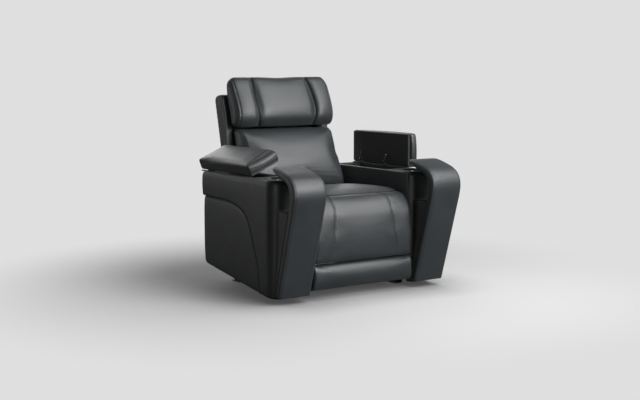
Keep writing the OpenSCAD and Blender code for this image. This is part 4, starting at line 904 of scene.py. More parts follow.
def weltTree():
    tree, start, end, cuts = lineTree("welt cord", "Spacing", [
        ("Radius", "Float", 0.003), ("Spacing", "Float", 0.006)])
    ring = addNode(tree, "GeometryNodeCurvePrimitiveCircle",
                   {"Resolution": 8, "Radius": start["Radius"]})
    sweep = addNode(tree, "GeometryNodeCurveToMesh", {
        "Curve": cuts, "Profile Curve": ring.outputs["Curve"], "Fill Caps": True})
    return paintTree(tree, start, end, sweep.outputs["Mesh"])


def growNodes(piece, tree, **values):
    modifier = piece.modifiers.new("grown", "NODES")
    modifier.node_group = tree
    for item in tree.interface.items_tree:
        if item.in_out == "INPUT" and item.name in values:
            modifier[item.identifier] = values[item.name]
    bakeModifiers(piece)


stitches = stitchTree()
welts = weltTree()


def dress(piece, body, nodes=()):
    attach(piece, body)
    if nodes:
        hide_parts(*nodes)


# Places that several pieces share, in metres

jointAt = {joint["name"]: joint.get("pos_m") for joint in frame["joints"]}
hinge = np.array(jointAt["legrest_lift"][1:])
pivot = np.array(jointAt["back_recline"][1:])
headHinge = np.array(jointAt["head_tilt"][1:])
lean = math.radians(13.3)
rearward = np.array([math.cos(lean), -math.sin(lean)])
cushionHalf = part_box("seat_cushion")[1].x


def fromBack(path):
    # Depth and height in the leaning back, as places in the room
    d, h = path[:, 0], path[:, 1]
    return np.stack([pivot[0] + d * math.cos(lean) + h * math.sin(lean),
                     pivot[1] - d * math.sin(lean) + h * math.cos(lean)], 1)


# Seat cushion

seatPad = {
    "roll": 0.0996, "crownTop": 0.505, "rearZ": 0.494, "rearY": 0.072, "frameTop": 0.3723,
    "edge": 0.02, "crown": 0.008, "inset": 0.004, "swellCap": 0.022, "widest": 0.3035, "noseTurn": 81,
    "shares": [(0, 0), (0.02, 0.3), (0.06, 0.82), (0.14, 1), (0.25, 0.98), (0.42, 0.7), (0.6, 0.4),
               (0.78, 0.16), (0.92, 0), (0.98, -0.3)],
}


def buildSeat():
    s = seatPad
    nose = arcOf(hinge, s["roll"], s["noseTurn"], s["noseTurn"], 1)[0]
    top = spread(s["shares"], nose, (s["rearY"] - nose[0], s["crownTop"] - nose[1]))
    top = np.vstack([smoothCurve(top, 300), [[s["rearY"], s["rearZ"] - s["edge"]]]])
    hollow = arcOf(hinge, s["roll"], 70, 8, 40)
    flat = np.array([[hinge[0] + s["roll"] + 0.0017, s["frameTop"]], [s["rearY"], s["frameTop"]]])
    loops = padGrid(evenly(top, 60), evenly(np.vstack([hollow, flat]), 60), cushionHalf - s["inset"],
                    s["edge"], s["crown"] - s["inset"], waist=0.004)
    piece = padPiece("seat_pad", loops, materials["seat_leather"])

    def held(p):
        away = np.hypot(p[:, 1] - hinge[0], p[:, 2] - hinge[1])
        onFrame = p[:, 2] < s["frameTop"] + 0.02
        return onFrame | (away < s["roll"] + 0.006) | (p[:, 1] > s["rearY"] - 0.012)

    swell(piece, held, s, passes=10)
    return piece


# Leg cushion: the front roll and the panel below it

legPad = {
    "roll": 0.098, "thick": 0.049, "lowZ": 0.178, "bulge": 0.009, "topTurn": 74, "flatten": 0.004,
    "edge": 0.02, "inset": 0.004, "seamTop": 0.17, "seamLow": 0.195, "seamBend": 0.03,
    "seamDepth": 0.0025, "seamWidth": 0.006, "swellCap": 0.022, "widest": 0.303,
}


def legFront(count):
    s = legPad
    frontY, mid = hinge[0] - s["roll"], (s["lowZ"] + hinge[1]) / 2
    low = smoothCurve([
        (frontY + s["thick"] / 4, s["lowZ"]), (frontY, s["lowZ"] + s["thick"] / 4),
        (frontY - s["bulge"] / 2, (s["lowZ"] * 3 + hinge[1]) / 4), (frontY - s["bulge"], mid),
        (frontY - s["bulge"] / 2, (s["lowZ"] + hinge[1] * 3) / 4)], 200)
    roll = arcOf(hinge, s["roll"], 180, s["topTurn"], 120)
    turn = np.linspace(0, 180 - s["topTurn"], 120)
    flatter = np.sin(np.radians(np.minimum(turn * 2.6, 180)))
    roll += (hinge - roll) * (s["flatten"] / s["roll"] * flatter)[:, None]
    return evenly(np.vstack([low, roll]), count)


def legSeamX(u):
    # the seams lean in as they rise and bend toward the middle over the roll
    s = legPad
    bend = np.clip((np.asarray(u) - 0.8) / 0.2, 0, 1) ** 1.6 * s["seamBend"]
    return s["seamLow"] - (s["seamLow"] - s["seamTop"]) * np.minimum(1, np.asarray(u) * 1.5) - bend


def buildLeg():
    s = legPad
    rearY = hinge[0] - s["roll"] + s["thick"]
    inner = np.vstack([[[rearY, s["lowZ"]], [rearY, hinge[1]]],
                       arcOf(hinge, s["roll"] - s["thick"], 180, s["topTurn"], 60)[1:]])
    channels = [{"at": legSeamX, "depth": s["seamDepth"], "width": s["seamWidth"]}]
    loops = padGrid(legFront(70), evenly(inner, 70), cushionHalf - s["inset"], s["edge"], -0.003,
                    waist=0.003, channels=channels, rings=90)
    piece = padPiece("leg_pad", loops, materials["seat_leather"])
    front = legFront(200)

    def held(p):
        u = np.argmin(((p[:, None, 1:] - front[None, ::4]) ** 2).sum(2), 1) * 4 / 199
        seam = abs(abs(p[:, 0]) - legSeamX(u)) < 0.005
        away = np.hypot(p[:, 1] - hinge[0], p[:, 2] - hinge[1])
        inside = (p[:, 1] > rearY - 0.01) & (away < s["roll"] - 0.02)
        behind = (p[:, 1] > hinge[0]) & (p[:, 2] > hinge[1]) & (away > s["roll"] - 0.004)
        return seam | inside | behind

    def limit(p):
        away = np.hypot(p[:, 1] - hinge[0], p[:, 2] - hinge[1])
        most = s["roll"] + 0.0008
        over = (p[:, 2] > hinge[1]) & (away > most)
        share = np.where(over, most / away, 1)
        p[:, 1] = hinge[0] + (p[:, 1] - hinge[0]) * share
        p[:, 2] = np.where(over, hinge[1] + (p[:, 2] - hinge[1]) * share, p[:, 2])
        p[:, 2] = np.maximum(p[:, 2], s["lowZ"] - 0.002)
        return p

    swell(piece, held, s, limit, passes=12)
    return piece


# Foot pad

footPad = {
    "lowZ": 0.046, "topZ": 0.172, "thick": 0.049, "edge": 0.011, "crown": 0.003, "inset": -0.004,
    "swellCap": 0.012, "widest": 0.303,
    "shares": [(0.12, 0), (0.5, 0.03), (0.86, 0.15), (1, 0.36), (1.02, 0.6), (0.98, 0.82),
               (0.78, 0.96), (0.4, 1), (0.12, 1)],
}


def buildFoot():
    s = footPad
    rearY = hinge[0] - legPad["roll"] + s["thick"]
    height = s["topZ"] - s["lowZ"]
    front = placed(s["shares"], (rearY, s["lowZ"]), (-s["thick"], height), 44)
    rear = evenly(np.array([[rearY, s["lowZ"]], [rearY, s["topZ"]]]), 44)
    piece = padPiece("foot_pad", padGrid(front, rear, cushionHalf - s["inset"], s["edge"], s["crown"],
                                         waist=0.003), materials["seat_leather"])

    def limit(p):
        p[:, 2] = np.clip(p[:, 2], s["lowZ"] - 0.004, s["topZ"] + 0.0014)
        return p

    swell(piece, lambda p: p[:, 1] > rearY - 0.008, s, limit)
    return piece


# Lower back cushion

backPad = {
    "rearD": 0.0327, "topH": 0.4551, "lowShare": 0.2, "thick": 0.142, "edge": 0.026,
    "crown": 0.004, "inset": 0.003, "gussetIn": 0.013, "ear": 0.006, "pocket": 0.014,
    "pocketSide": 0.02, "pocketDrop": 0.03, "pocketDeep": 0.035, "swellCap": 0.024, "widest": 0.303,
    "shares": [(0.42, -0.03), (0.74, -0.01), (0.97, 0.04), (1.04, 0.12), (1.05, 0.22), (1.03, 0.33),
               (0.97, 0.46), (0.87, 0.6), (0.76, 0.74), (0.64, 0.87), (0.5, 0.955), (0.27, 1)],
}


def backFront(count):
    s = backPad
    lowH = s["topH"] * s["lowShare"]
    return fromBack(placed(s["shares"], (s["rearD"], lowH), (-s["thick"], s["topH"] - lowH), count))


def buildBack():
    s = backPad
    front = backFront(60)
    rear = [[s["rearD"], s["topH"] * s["lowShare"]], [s["rearD"], s["topH"]]]
    rear = fromBack(evenly(rear, 60))
    piece = padPiece("back_pad", padGrid(front, rear, cushionHalf - s["inset"], s["edge"], s["crown"],
                                         waist=0.004), materials["seat_leather"])

    def held(p):
        return (p[:, 1:] - pivot) @ rearward > s["rearD"] - 0.01

    def limit(p):
        over = np.maximum((p[:, 1:] - pivot) @ rearward - s["rearD"], 0)
        p[:, 1:] -= over[:, None] * rearward
        return p

    swell(piece, held, s, limit, passes=36, stiff=2)
    return piece


# Headrest

headPad = {
    "half": 0.313, "depth": 0.098, "height": 0.217, "edge": 0.032, "puff": 0.008, "inset": 0.003,
    "channelX": 0.17, "channelBow": 0.007, "channelDepth": 0.014, "channelWidth": 0.019,
    "foldDepth": 0.011, "foldWidth": 0.006, "endTurn": 0.022,
    "topCornerR": 0.046, "lowCornerR": 0.02, "topDip": 0.004, "gussetIn": 0.02, "swellCap": 0.026,
    "widest": 0.323,
    "front": [(0.06, -0.204), (-0.16, -0.192), (-0.34, -0.12), (-0.44, -0.01), (-0.45, 0.1),
              (-0.38, 0.24), (-0.22, 0.41), (0, 0.6), (0.22, 0.78), (0.44, 0.92), (0.62, 0.985),
              (0.76, 1)],
    "rear": [(0.26, -0.185), (0.4, -0.11), (0.5, 0), (0.6, 0.12), (0.72, 0.26), (0.83, 0.38),
             (0.93, 0.5), (0.98, 0.62), (1.01, 0.74), (1, 0.85), (0.96, 0.93), (0.88, 0.975)],
}


def headChannelX(u):
    return headPad["channelX"] + headPad["channelBow"] * np.sin(math.pi * np.asarray(u))


def headPath(name, count):
    s = headPad
    return placed(s[name], headHinge, (s["depth"], s["height"]), count)


def buildHead():
    s = headPad
    front, rear = headPath("front", 70), headPath("rear", 70)
    channels = [{"at": headChannelX, "depth": s["channelDepth"], "width": s["channelWidth"]}]

    def puffs(x):
        # one swell between the channels and one outside each
        side = (s["half"] - s["channelX"]) / 2
        inner = 1 - (x / s["channelX"]) ** 2
        outer = 1 - ((abs(x) - s["channelX"] - side) / side) ** 2
        return s["puff"] * max(inner, outer, 0)

    loops = padGrid(front, rear, s["half"] - s["inset"], s["edge"], puffs, channels=channels,
                    rings=130)
    x, z = abs(loops[..., 0]), loops[..., 2]
    for sign, radius in ((1, s["topCornerR"]), (-1, s["lowCornerR"])):
        limit = (z * sign).max() - radius
        over = np.clip(x - (s["half"] - s["inset"] - radius), 0, radius)
        room = np.sqrt(np.maximum(radius ** 2 - over ** 2, 0)) / radius
        above = np.maximum(z * sign - limit, 0)
        dip = s["topDip"] * np.exp(-(x / 0.07) ** 2) * above / radius if sign > 0 else 0
        z = z + sign * (above * (room - 1) - dip)
    loops[..., 2] = z
    # the panels outside the channels turn back towards the ends
    y = loops[..., 1]
    ahead = (y.max() - y) / (y.max() - y.min())
    outside = np.clip((x - s["channelX"]) / (s["half"] - s["channelX"]), 0, 1)
    loops[..., 1] = y + s["endTurn"] * outside ** 2 * ahead
    piece = padPiece("headrest_pad", loops, materials["seat_leather"])

    def held(p):
        gaps, rearGaps = (((p[:, None, 1:] - path[None, :]) ** 2).sum(2) for path in (front, rear))
        channelX = headChannelX(np.argmin(gaps, 1) / 69)
        channel = (abs(abs(p[:, 0]) - channelX) < 0.006) & (np.sqrt(gaps).min(1) < 0.03)
        return channel | ((np.sqrt(rearGaps).min(1) < 0.012) & (abs(p[:, 0]) < s["half"] - 0.03))

    swell(piece, held, s, voxel=0.005, passes=45, stiff=3)
    return piece


# Lids: each pad is drawn closed over the right arm, then turned about its hinge

lidPad = {
    "inX": 0.306, "low": 0.589, "thick": 0.063, "board": 0.0123, "shoulder": 0.008, "edge": 0.012,
    "crown": 0.005, "frontY": -0.213, "rearY": 0.294, "boardIn": 0.006, "lip": 0.0045, "swellCap": 0.006,
    "bolsterInY": -0.15, "bolsterOutY": -0.196, "bolsterDepth": 0.0028, "bolsterDrop": 0.02,
    "bolsterOut": 0.012, "sideOut": 0.0022,
}
lidHinge = (jointAt["lid_right_lift"][0], jointAt["lid_right_lift"][2])
lidOpen = {"left": 24, "right": 90}


def turnLid(points, side, closing=False):
    # from the closed lid over the right arm to where the lid stands, or back again
    a = math.radians(-lidOpen[side] if closing else lidOpen[side])
    turned = points.copy()
    if side == "left" and closing:
        turned[:, 0] *= -1
    x, z = turned[:, 0] - lidHinge[0], turned[:, 2] - lidHinge[1]
    turned[:, 0] = lidHinge[0] + x * math.cos(a) + z * math.sin(a)
    turned[:, 2] = lidHinge[1] - x * math.sin(a) + z * math.cos(a)
    if side == "left" and not closing:
        turned[:, 0] *= -1
    return turned


def bolsterLine(x):
    # the crease runs across the pad at a slant, nearer the front at the outer side
    s = lidPad
    share = (np.asarray(x) - s["inX"]) / (lidHinge[0] - s["inX"])
    return s["bolsterInY"] + (s["bolsterOutY"] - s["bolsterInY"]) * np.clip(share, 0, 1)


def buildLid(side):
    s = lidPad
    outX, inX, low, r = lidHinge[0], s["inX"], s["low"], s["shoulder"]
    top, over, lipZ = low + s["thick"] - 0.003, low + s["board"], low + s["lip"]
    sideX = outX + s["sideOut"]
    path = np.vstack([
        [[-sideX + 0.0005, lipZ], [-sideX, (lipZ + over) / 2]],
        arcOf((-sideX + r, top - r), r, 180, 90, 12),
        arcOf((-inX - r, top - r), r, 90, 0, 12),
        [[-inX, (lipZ + over) / 2], [-inX - 0.0005, lipZ]]])
    x0, x1 = -outX + s["boardIn"], -inX - s["boardIn"]
    under = np.array([[x0, lipZ], [x0, over], [x1, over], [x1, lipZ]])
    half = (s["rearY"] - s["frontY"]) / 2
    middle = (s["rearY"] + s["frontY"]) / 2
    loops = padGrid(evenly(path, 60), evenly(under, 60), half - 0.002, s["edge"], s["crown"], rings=80)
    flat = loops.reshape(-1, 3)
    flat = np.stack([-flat[:, 1], middle + flat[:, 0], flat[:, 2]], 1)
    # the front end rolls down as a bolster
    creaseY = bolsterLine(flat[:, 0]) - 0.004
    ahead = np.clip((creaseY - flat[:, 1]) / (creaseY - s["frontY"]), 0, 1)
    share = np.clip((flat[:, 2] - over) / (top - over), 0, 1)
    across = (flat[:, 0] - inX) / (outX - inX)
    flat[:, 2] -= s["bolsterDrop"] * (1 - np.sqrt(1 - ahead ** 2)) * share
    flat[:, 1] -= s["bolsterOut"] * ahead * (1 - (2 * across - 1) ** 2)
    loops = turnLid(flat, side).reshape(loops.shape)
    piece = padPiece("lid_pad_top_" + side, loops, materials["arm_leather"])

    def held(p):
        q = turnLid(p, side, closing=True)
        onBoard = (q[:, 2] < over + 0.006)
        crease = (abs(q[:, 1] - bolsterLine(q[:, 0])) < 0.003) & (q[:, 2] > over + 0.01)
        return onBoard | crease

    def limit(p):
        q = turnLid(p, side, closing=True)
        q[:, 0] = np.clip(q[:, 0], inX - 0.004, sideX)
        q[:, 1] = np.clip(q[:, 1], s["frontY"] - 0.004 - s["bolsterOut"], s["rearY"] + 0.004)
        q[:, 2] = np.maximum(q[:, 2], lipZ)
        return turnLid(q, side)

    swell(piece, held, s, limit, voxel=0.005, passes=18, stiff=2, pressure=0.6)
    return piece


seat, leg, foot, lowerBack, head = buildSeat(), buildLeg(), buildFoot(), buildBack(), buildHead()
lids = {side: buildLid(side) for side, sign in sides}
print("cushion forms made:", len(swelling))
runCloth()
print("cushions swelled")

# Sewing on the cushions

folds = {
    # depth, width, gather, pitch, reach
    "channel": (headPad["foldDepth"], headPad["foldWidth"], 0.0004, 0.03, 0.02),
    "head end": (0.0025, 0.004, 0.0004, 0.02, 0.014),
    "leg seam": (0.0036, 0.0032, 0.0004, 0.022, 0.016),
    "bolster": (lidPad["bolsterDepth"], 0.0035, 0.0005, 0.02, 0.014),
    "gusset": (0.0016, 0.004, 0.0005, 0.03, 0.014),
    "strap edge": (0.0012, 0.0022, 0.0002, 0.02, 0.008),
}
stitchIn = {"leg": 0.007, "lid": 0.006, "strap": 0.005}

for side, sign in sides:
    front = headPath("front", 120)
    u = np.linspace(0.06, 0.98, 90)
    line, _ = onSurface(head, np.column_stack([sign * headChannelX(u), pointOn(front, u)]))
    sewFold(head, line, *folds["channel"])
    x = sign * (headPad["half"] - headPad["gussetIn"])
    line, _ = onSurface(head, np.column_stack([np.full(len(front) - 10, x), front[5:-5]]))
    sewFold(head, line, *folds["head end"])
    weltAlong("headrest", "seat_leather", onSurface(head, line, -0.0008)[0], 0.002)
    front = legFront(160)
    u = np.linspace(0.03, 0.99, 120)
    line, _ = onSurface(leg, np.column_stack([sign * legSeamX(u), pointOn(front, u)]))
    sewFold(leg, line, *folds["leg seam"])
    stitchAlong("legrest", leg, line, stitchIn["leg"] * sign)

for side, sign in sides:
    s = lidPad
    xs = np.linspace(lidHinge[0] - 0.004, s["inX"] + 0.004, 60)
    flat = np.column_stack([xs, bolsterLine(xs), np.full(60, s["low"] + s["thick"])])
    line, _ = onSurface(lids[side], turnLid(flat, side))
    sewFold(lids[side], line, *folds["bolster"])
    stitchAlong("lid_" + side, lids[side], line, stitchIn["lid"])

for side, sign in sides:
    # a gusset seam near each end of the back cushion, with a tucked corner above it
    s = backPad
    front = backFront(120)
    x = sign * (cushionHalf - s["gussetIn"])
    line, _ = onSurface(lowerBack, np.column_stack([np.full(104, x), front[6:110]]))
    sewFold(lowerBack, line, *folds["gusset"])
    points, normals = getPoints(lowerBack), getNormals(lowerBack)
    corner = np.array([sign * (cushionHalf - 0.008), *front[104]])
    gap = np.linalg.norm(points - corner, axis=1)
    points += normals * (s["ear"] * np.exp(-(gap / 0.012) ** 2))[:, None]
    setPoints(lowerBack, points)

# a pocket in the back cushion's rear face clears the headrest's drive as it swings
points = getPoints(lowerBack)
drive = getPoints(frame["nodes"]["head_drive"])
beside = np.maximum(drive[:, 0].min() - points[:, 0], points[:, 0] - drive[:, 0].max())
below = drive[:, 2].min() - points[:, 2]
s = backPad
near = np.clip(1 - beside / s["pocketSide"], 0, 1) * np.clip(1 - below / s["pocketDrop"], 0, 1)
behind = np.clip(((points[:, 1:] - pivot) @ rearward - s["rearD"] + s["pocketDeep"]) / 0.02, 0, 1)
points[:, 1:] -= (s["pocket"] * near * behind)[:, None] * rearward
setPoints(lowerBack, points)

dress(seat, "base", ["seat_cushion"])
dress(leg, "legrest", ["leg_cushion"])
dress(foot, "footpad", ["foot_cushion"])
dress(lowerBack, "back", ["back_cushion"])
dress(head, "headrest", ["headrest_cushion"])
for side, sign in sides:
    dress(lids[side], "lid_" + side, ["lid_pad_" + side])
print("cushions sewn")

# Lid stays: two chrome bars that stand on each lid's lining, over the hinge leaves

stay = {"low": 0.015, "high": 0.056, "lean": 0.02, "thick": 0.0019, "wide": 0.0034, "ball": 1.15,
        "under": 0.0036, "places": [0.0, 0.224]}


def barPiece(name, runs, side, around=14):
    # Flat-oval bars with a rounded end each way, in one mesh
    s = stay
    points, faces = [], []
    for start, stop in runs:
        along = stop - start
        length = np.linalg.norm(along)
        along = along / length
        across = np.array([along[1], -along[0], 0])
        profile = [(s["ball"] * math.sin(a), s["wide"] * (1 - math.cos(a)))
                   for a in np.linspace(0.25, 2.2, 7)]
        rings = profile + [(1, s["wide"] * 2.4), (1, length - s["wide"] * 2.4)]
        rings += [(r, length - d) for r, d in profile[::-1]]
        first = len(points)
        for r, d in rings:
            for k in range(around):
                turn = 2 * math.pi * k / around
                points.append(start + along * d + across * (math.cos(turn) * r * s["wide"])
                              + np.array([0, 0, math.sin(turn) * r * s["thick"]]))
        faces += [[first + int(i) for i in f] for f in gridFaces(len(rings), around)]
        faces += [[first + k for k in range(around)],
                  [first + (len(rings) - 1) * around + k for k in range(around)]]
    return newPiece(name, turnLid(np.array(points), side), faces, materials["chrome_ring"])


for side, sign in sides:
    z = lidPad["low"] - stay["under"]
    runs = [(np.array([lidHinge[0] - stay["low"], y, z]),
             np.array([lidHinge[0] - stay["high"], y - stay["lean"], z])) for y in stay["places"]]
    dress(barPiece("lid_stays_" + side, runs, side), "lid_" + side)

# Hinge flaps: narrow leather strips along the lids' hinge lines, cut away round the hinges

flap = {"inX": 0.4775, "outX": 0.4865, "lowZ": 0.5825, "topZ": 0.5888, "frontY": -0.206, "rearY": 0.286}


def buildFlaps():
    s = flap
    seats = np.sort(getPoints(frame["nodes"]["lid_hinge_seats"])[:, 1])
    gaps = np.where(np.diff(seats) > 0.05)[0]
    stops = [s["frontY"]]
    for group in np.split(seats, gaps + 1):
        stops += [group.min() - 0.001, group.max() + 0.001]
    stops.append(s["rearY"])
    path = smoothCurve([(-s["outX"], s["lowZ"]), (-s["outX"] + 0.0004, s["topZ"] - 0.0012),
                        (-s["outX"] + 0.0016, s["topZ"]), (-s["inX"] - 0.0016, s["topZ"]),
                        (-s["inX"] - 0.0004, s["topZ"] - 0.0012), (-s["inX"], s["lowZ"])], 24)
    low = np.linspace([-s["outX"] + 0.001, s["lowZ"]], [-s["inX"] - 0.001, s["lowZ"]], 24)
    pieces = []
    for side, sign in sides:
        for start, stop in zip(stops[::2], stops[1::2]):
            if stop - start < 0.02:
                continue
            loops = padGrid(path, low, (stop - start) / 2, 0.0015, rings=16)
            loops = np.stack([-loops[..., 1] * sign, loops[..., 0] + (start + stop) / 2,
                              loops[..., 2]], -1)
            pieces.append(padPiece("flap", loops, materials["arm_leather"]))
    return joinPieces("lid_hinge_flaps", pieces)


# Front straps and the fillers behind them

strap = {
    "half": 0.0915, "midX": 0.4085, "tipY": -0.4, "kneeY": -0.614, "lowZ": 0.03, "tipZ": 0.65,
    "thick": 0.038, "edge": 0.015,
    "shares": [(0.35, 0), (0.486, 0.16), (0.622, 0.32), (0.76, 0.483), (0.89, 0.637), (0.978, 0.748),
               (1, 0.812), (0.965, 0.868), (0.86, 0.916), (0.673, 0.952), (0.374, 0.983),
               (0.18, 0.997), (0, 1)],
    "thickShares": [0.9, 1, 1, 1, 1.05, 1.2, 1.3, 1.3, 1.15, 1, 0.88, 0.66, 0.34],
    "seamIn": 0.011, "puff": 0.003, "tipR": 0.04,
}
filler = {
    "half": 0.0875, "topZ": 0.447, "edge": 0.006, "blockHalf": 0.0665, "blockEdge": 0.004,
    "rearShares": [(0.17, 0.005), (0.185, 0.09), (0.335, 0.41), (0.36, 0.672)],
}


def strapPlaces(shares):
    s = strap
    return spread(shares, (s["tipY"], s["lowZ"]), (s["kneeY"] - s["tipY"], s["tipZ"] - s["lowZ"]))


def strapPaths(count):
    s = strap
    outer = smoothCurve(strapPlaces(s["shares"]), 300)
    thick = smoothCurve([(0, t) for t in s["thickShares"]], 300)[:, 1] * s["thick"]
    inner = outer + sideways(outer) * thick[:, None]
    return evenly(outer, count), evenly(inner, count)


outer, inner = strapPaths(110)
fillerRear = np.array(strapPlaces(filler["rearShares"]))
fillerFront = inner[inner[:, 1] < filler["topZ"]]
fillerFront = fillerFront[fillerFront[:, 0] < fillerRear[0][0]] + [0.0003, 0]
fillerFront = np.vstack([fillerFront, [[fillerFront[-1, 0], filler["topZ"]]]])

for side, sign in sides:
    loops = padGrid(outer, inner, strap["half"], strap["edge"], strap["puff"], rings=26)
    r = strap["tipR"]
    ahead = np.maximum(loops[..., 1] - (loops[..., 1].max() - r), 0) * (loops[..., 2] > 0.6)
    over = np.clip(abs(loops[..., 0]) - (strap["half"] - r), 0, r)
    loops[..., 1] -= ahead * (1 - np.sqrt(np.maximum(r ** 2 - over ** 2, 0)) / r)
    loops[..., 0] += strap["midX"]
    loops[..., 0] *= sign
    piece = padPiece("strap_" + side, loops, materials["seat_leather"])
    subdivide(piece)
    for edgeSign in (-1, 1):
        x = sign * strap["midX"] + edgeSign * (strap["half"] - strap["seamIn"])
        line, _ = onSurface(piece, np.column_stack([np.full(len(outer) - 8, x), outer[3:-5]]))
        sewFold(piece, line, *folds["strap edge"])
        stitchAlong("base", piece, line, -stitchIn["strap"] * edgeSign)
    dress(piece, "base", ["front_strap_" + side])

# the covers of the blocks reach back to the arms, a little larger than the blocks all round
coverFront = fillerRear[1:] + [[0.003, -0.001], [0.003, 0], [0.003, 0.0015]]
coverRear = coverFront.copy()
coverRear[:, 0] = -0.4251
forms = [padGrid(evenly(fillerFront, 50), evenly(fillerRear, 50), filler["half"], filler["edge"],
                 rings=20),
         padGrid(evenly(coverFront, 50), evenly(coverRear, 50), filler["blockHalf"],
                 filler["blockEdge"], rings=16)]
covers = []
for sign, form in [(sign, form) for side, sign in sides for form in forms]:
    loops = form.copy()
    loops[..., 0] = (loops[..., 0] + strap["midX"]) * sign
    covers.append(padPiece("cover", loops, materials["recess_leather"]))
fillers = joinPieces("strap_recess_fillers", covers)
dress(fillers, "base", ["strap_fillers"])
print("straps and fillers made")

# Arms: an upper band and a lower panel, bent round the arm's corners

arm = {
    "inX": 0.311, "outX": 0.506, "frontY": -0.425, "rearY": 0.254, "topZ": 0.587, "cornerR": 0.058,
    "rearR": 0.018, "skin": 0.02, "setIn": 0.004, "overhang": 0.013, "heelR": 0.042,
    "lowFrontZ": 0.018, "lowRearZ": 0.115, "voidRearY": 0.221, "voidFrontY": -0.405,
    "bandEdge": 0.014, "bandTopReach": 0.026, "bandSeamReach": 0.009, "bandCrown": 0.0045,
    "panelEdge": 0.009, "panelCrown": 0.004, "tuck": 0.009, "seamGap": 0.003, "weltRadius": 0.0032,
    "weltDown": 0.0015, "stitchIn": 0.012,
    "seam": [(0.155, -0.05), (0.168, 0.114), (0.193, 0.278), (0.247, 0.446), (0.302, 0.591),
             (0.356, 0.676), (0.427, 0.727), (0.514, 0.755), (0.613, 0.773), (0.8, 0.779),
             (1.1, 0.786)],
}
armLength = arm["rearY"] - arm["frontY"]


def armLowZ(y):
    a = arm
    return a["lowFrontZ"] + (a["lowRearZ"] - a["lowFrontZ"]) * (np.asarray(y) - a["frontY"]) / armLength


seamCurve = smoothCurve(spread(arm["seam"], (arm["frontY"], 0), (armLength, arm["topZ"])), 500)
seamCurve = evenly(seamCurve, 400)
seamCurve = seamCurve[seamCurve[:, 1] > armLowZ(seamCurve[:, 0])]


def armPath(outX, rearY):
    # The arm's plan from its inner front corner, round the outside, to its inner rear corner
    a = arm
    centreY = a["frontY"] + a["cornerR"]
    startTurn = 180 + math.degrees(math.asin((centreY - a["voidFrontY"] - a["tuck"]) / a["cornerR"]))
    r = a["rearR"]
    return np.vstack([
        arcOf((a["inX"] + a["cornerR"], centreY), a["cornerR"], startTurn, 270, 24),
        arcOf((outX - a["cornerR"], centreY), a["cornerR"], 270, 360, 40),
        arcOf((outX - r, rearY - r), r, 0, 90, 14),
        arcOf((a["inX"] + 0.006, rearY - 0.006), 0.006, 90, 180, 8),
        [[a["inX"], a["voidRearY"] + 0.002]]])


class Bend:
    # Bends a flat panel along a plan path: u runs along it, v is the height, n stands out of it
    def __init__(self, path, sign=1):
        self.path = evenly(path, 1200)
        self.run = runOf(self.path)
        self.out = sideways(self.path)
        self.sign = sign

    def __call__(self, u, v, n):
        spot = np.stack([np.interp(u, self.run, self.path[:, k]) for k in (0, 1)], -1)
        out = np.stack([np.interp(u, self.run, self.out[:, k]) for k in (0, 1)], -1)
        spot = spot + out * np.asarray(n)[..., None]
        return np.column_stack([spot[:, 0] * self.sign, spot[:, 1], v])


def outerRun(bend, y):
    # runs of places on the arm's outer face, which starts behind its front corner
    startY = arm["frontY"] + arm["cornerR"]
    past = (bend.run > bend.run[-1] * 0.2) & (bend.path[:, 1] >= startY + 1e-6)
    return bend.run[np.nonzero(past)[0][0]] + (np.asarray(y) - startY)


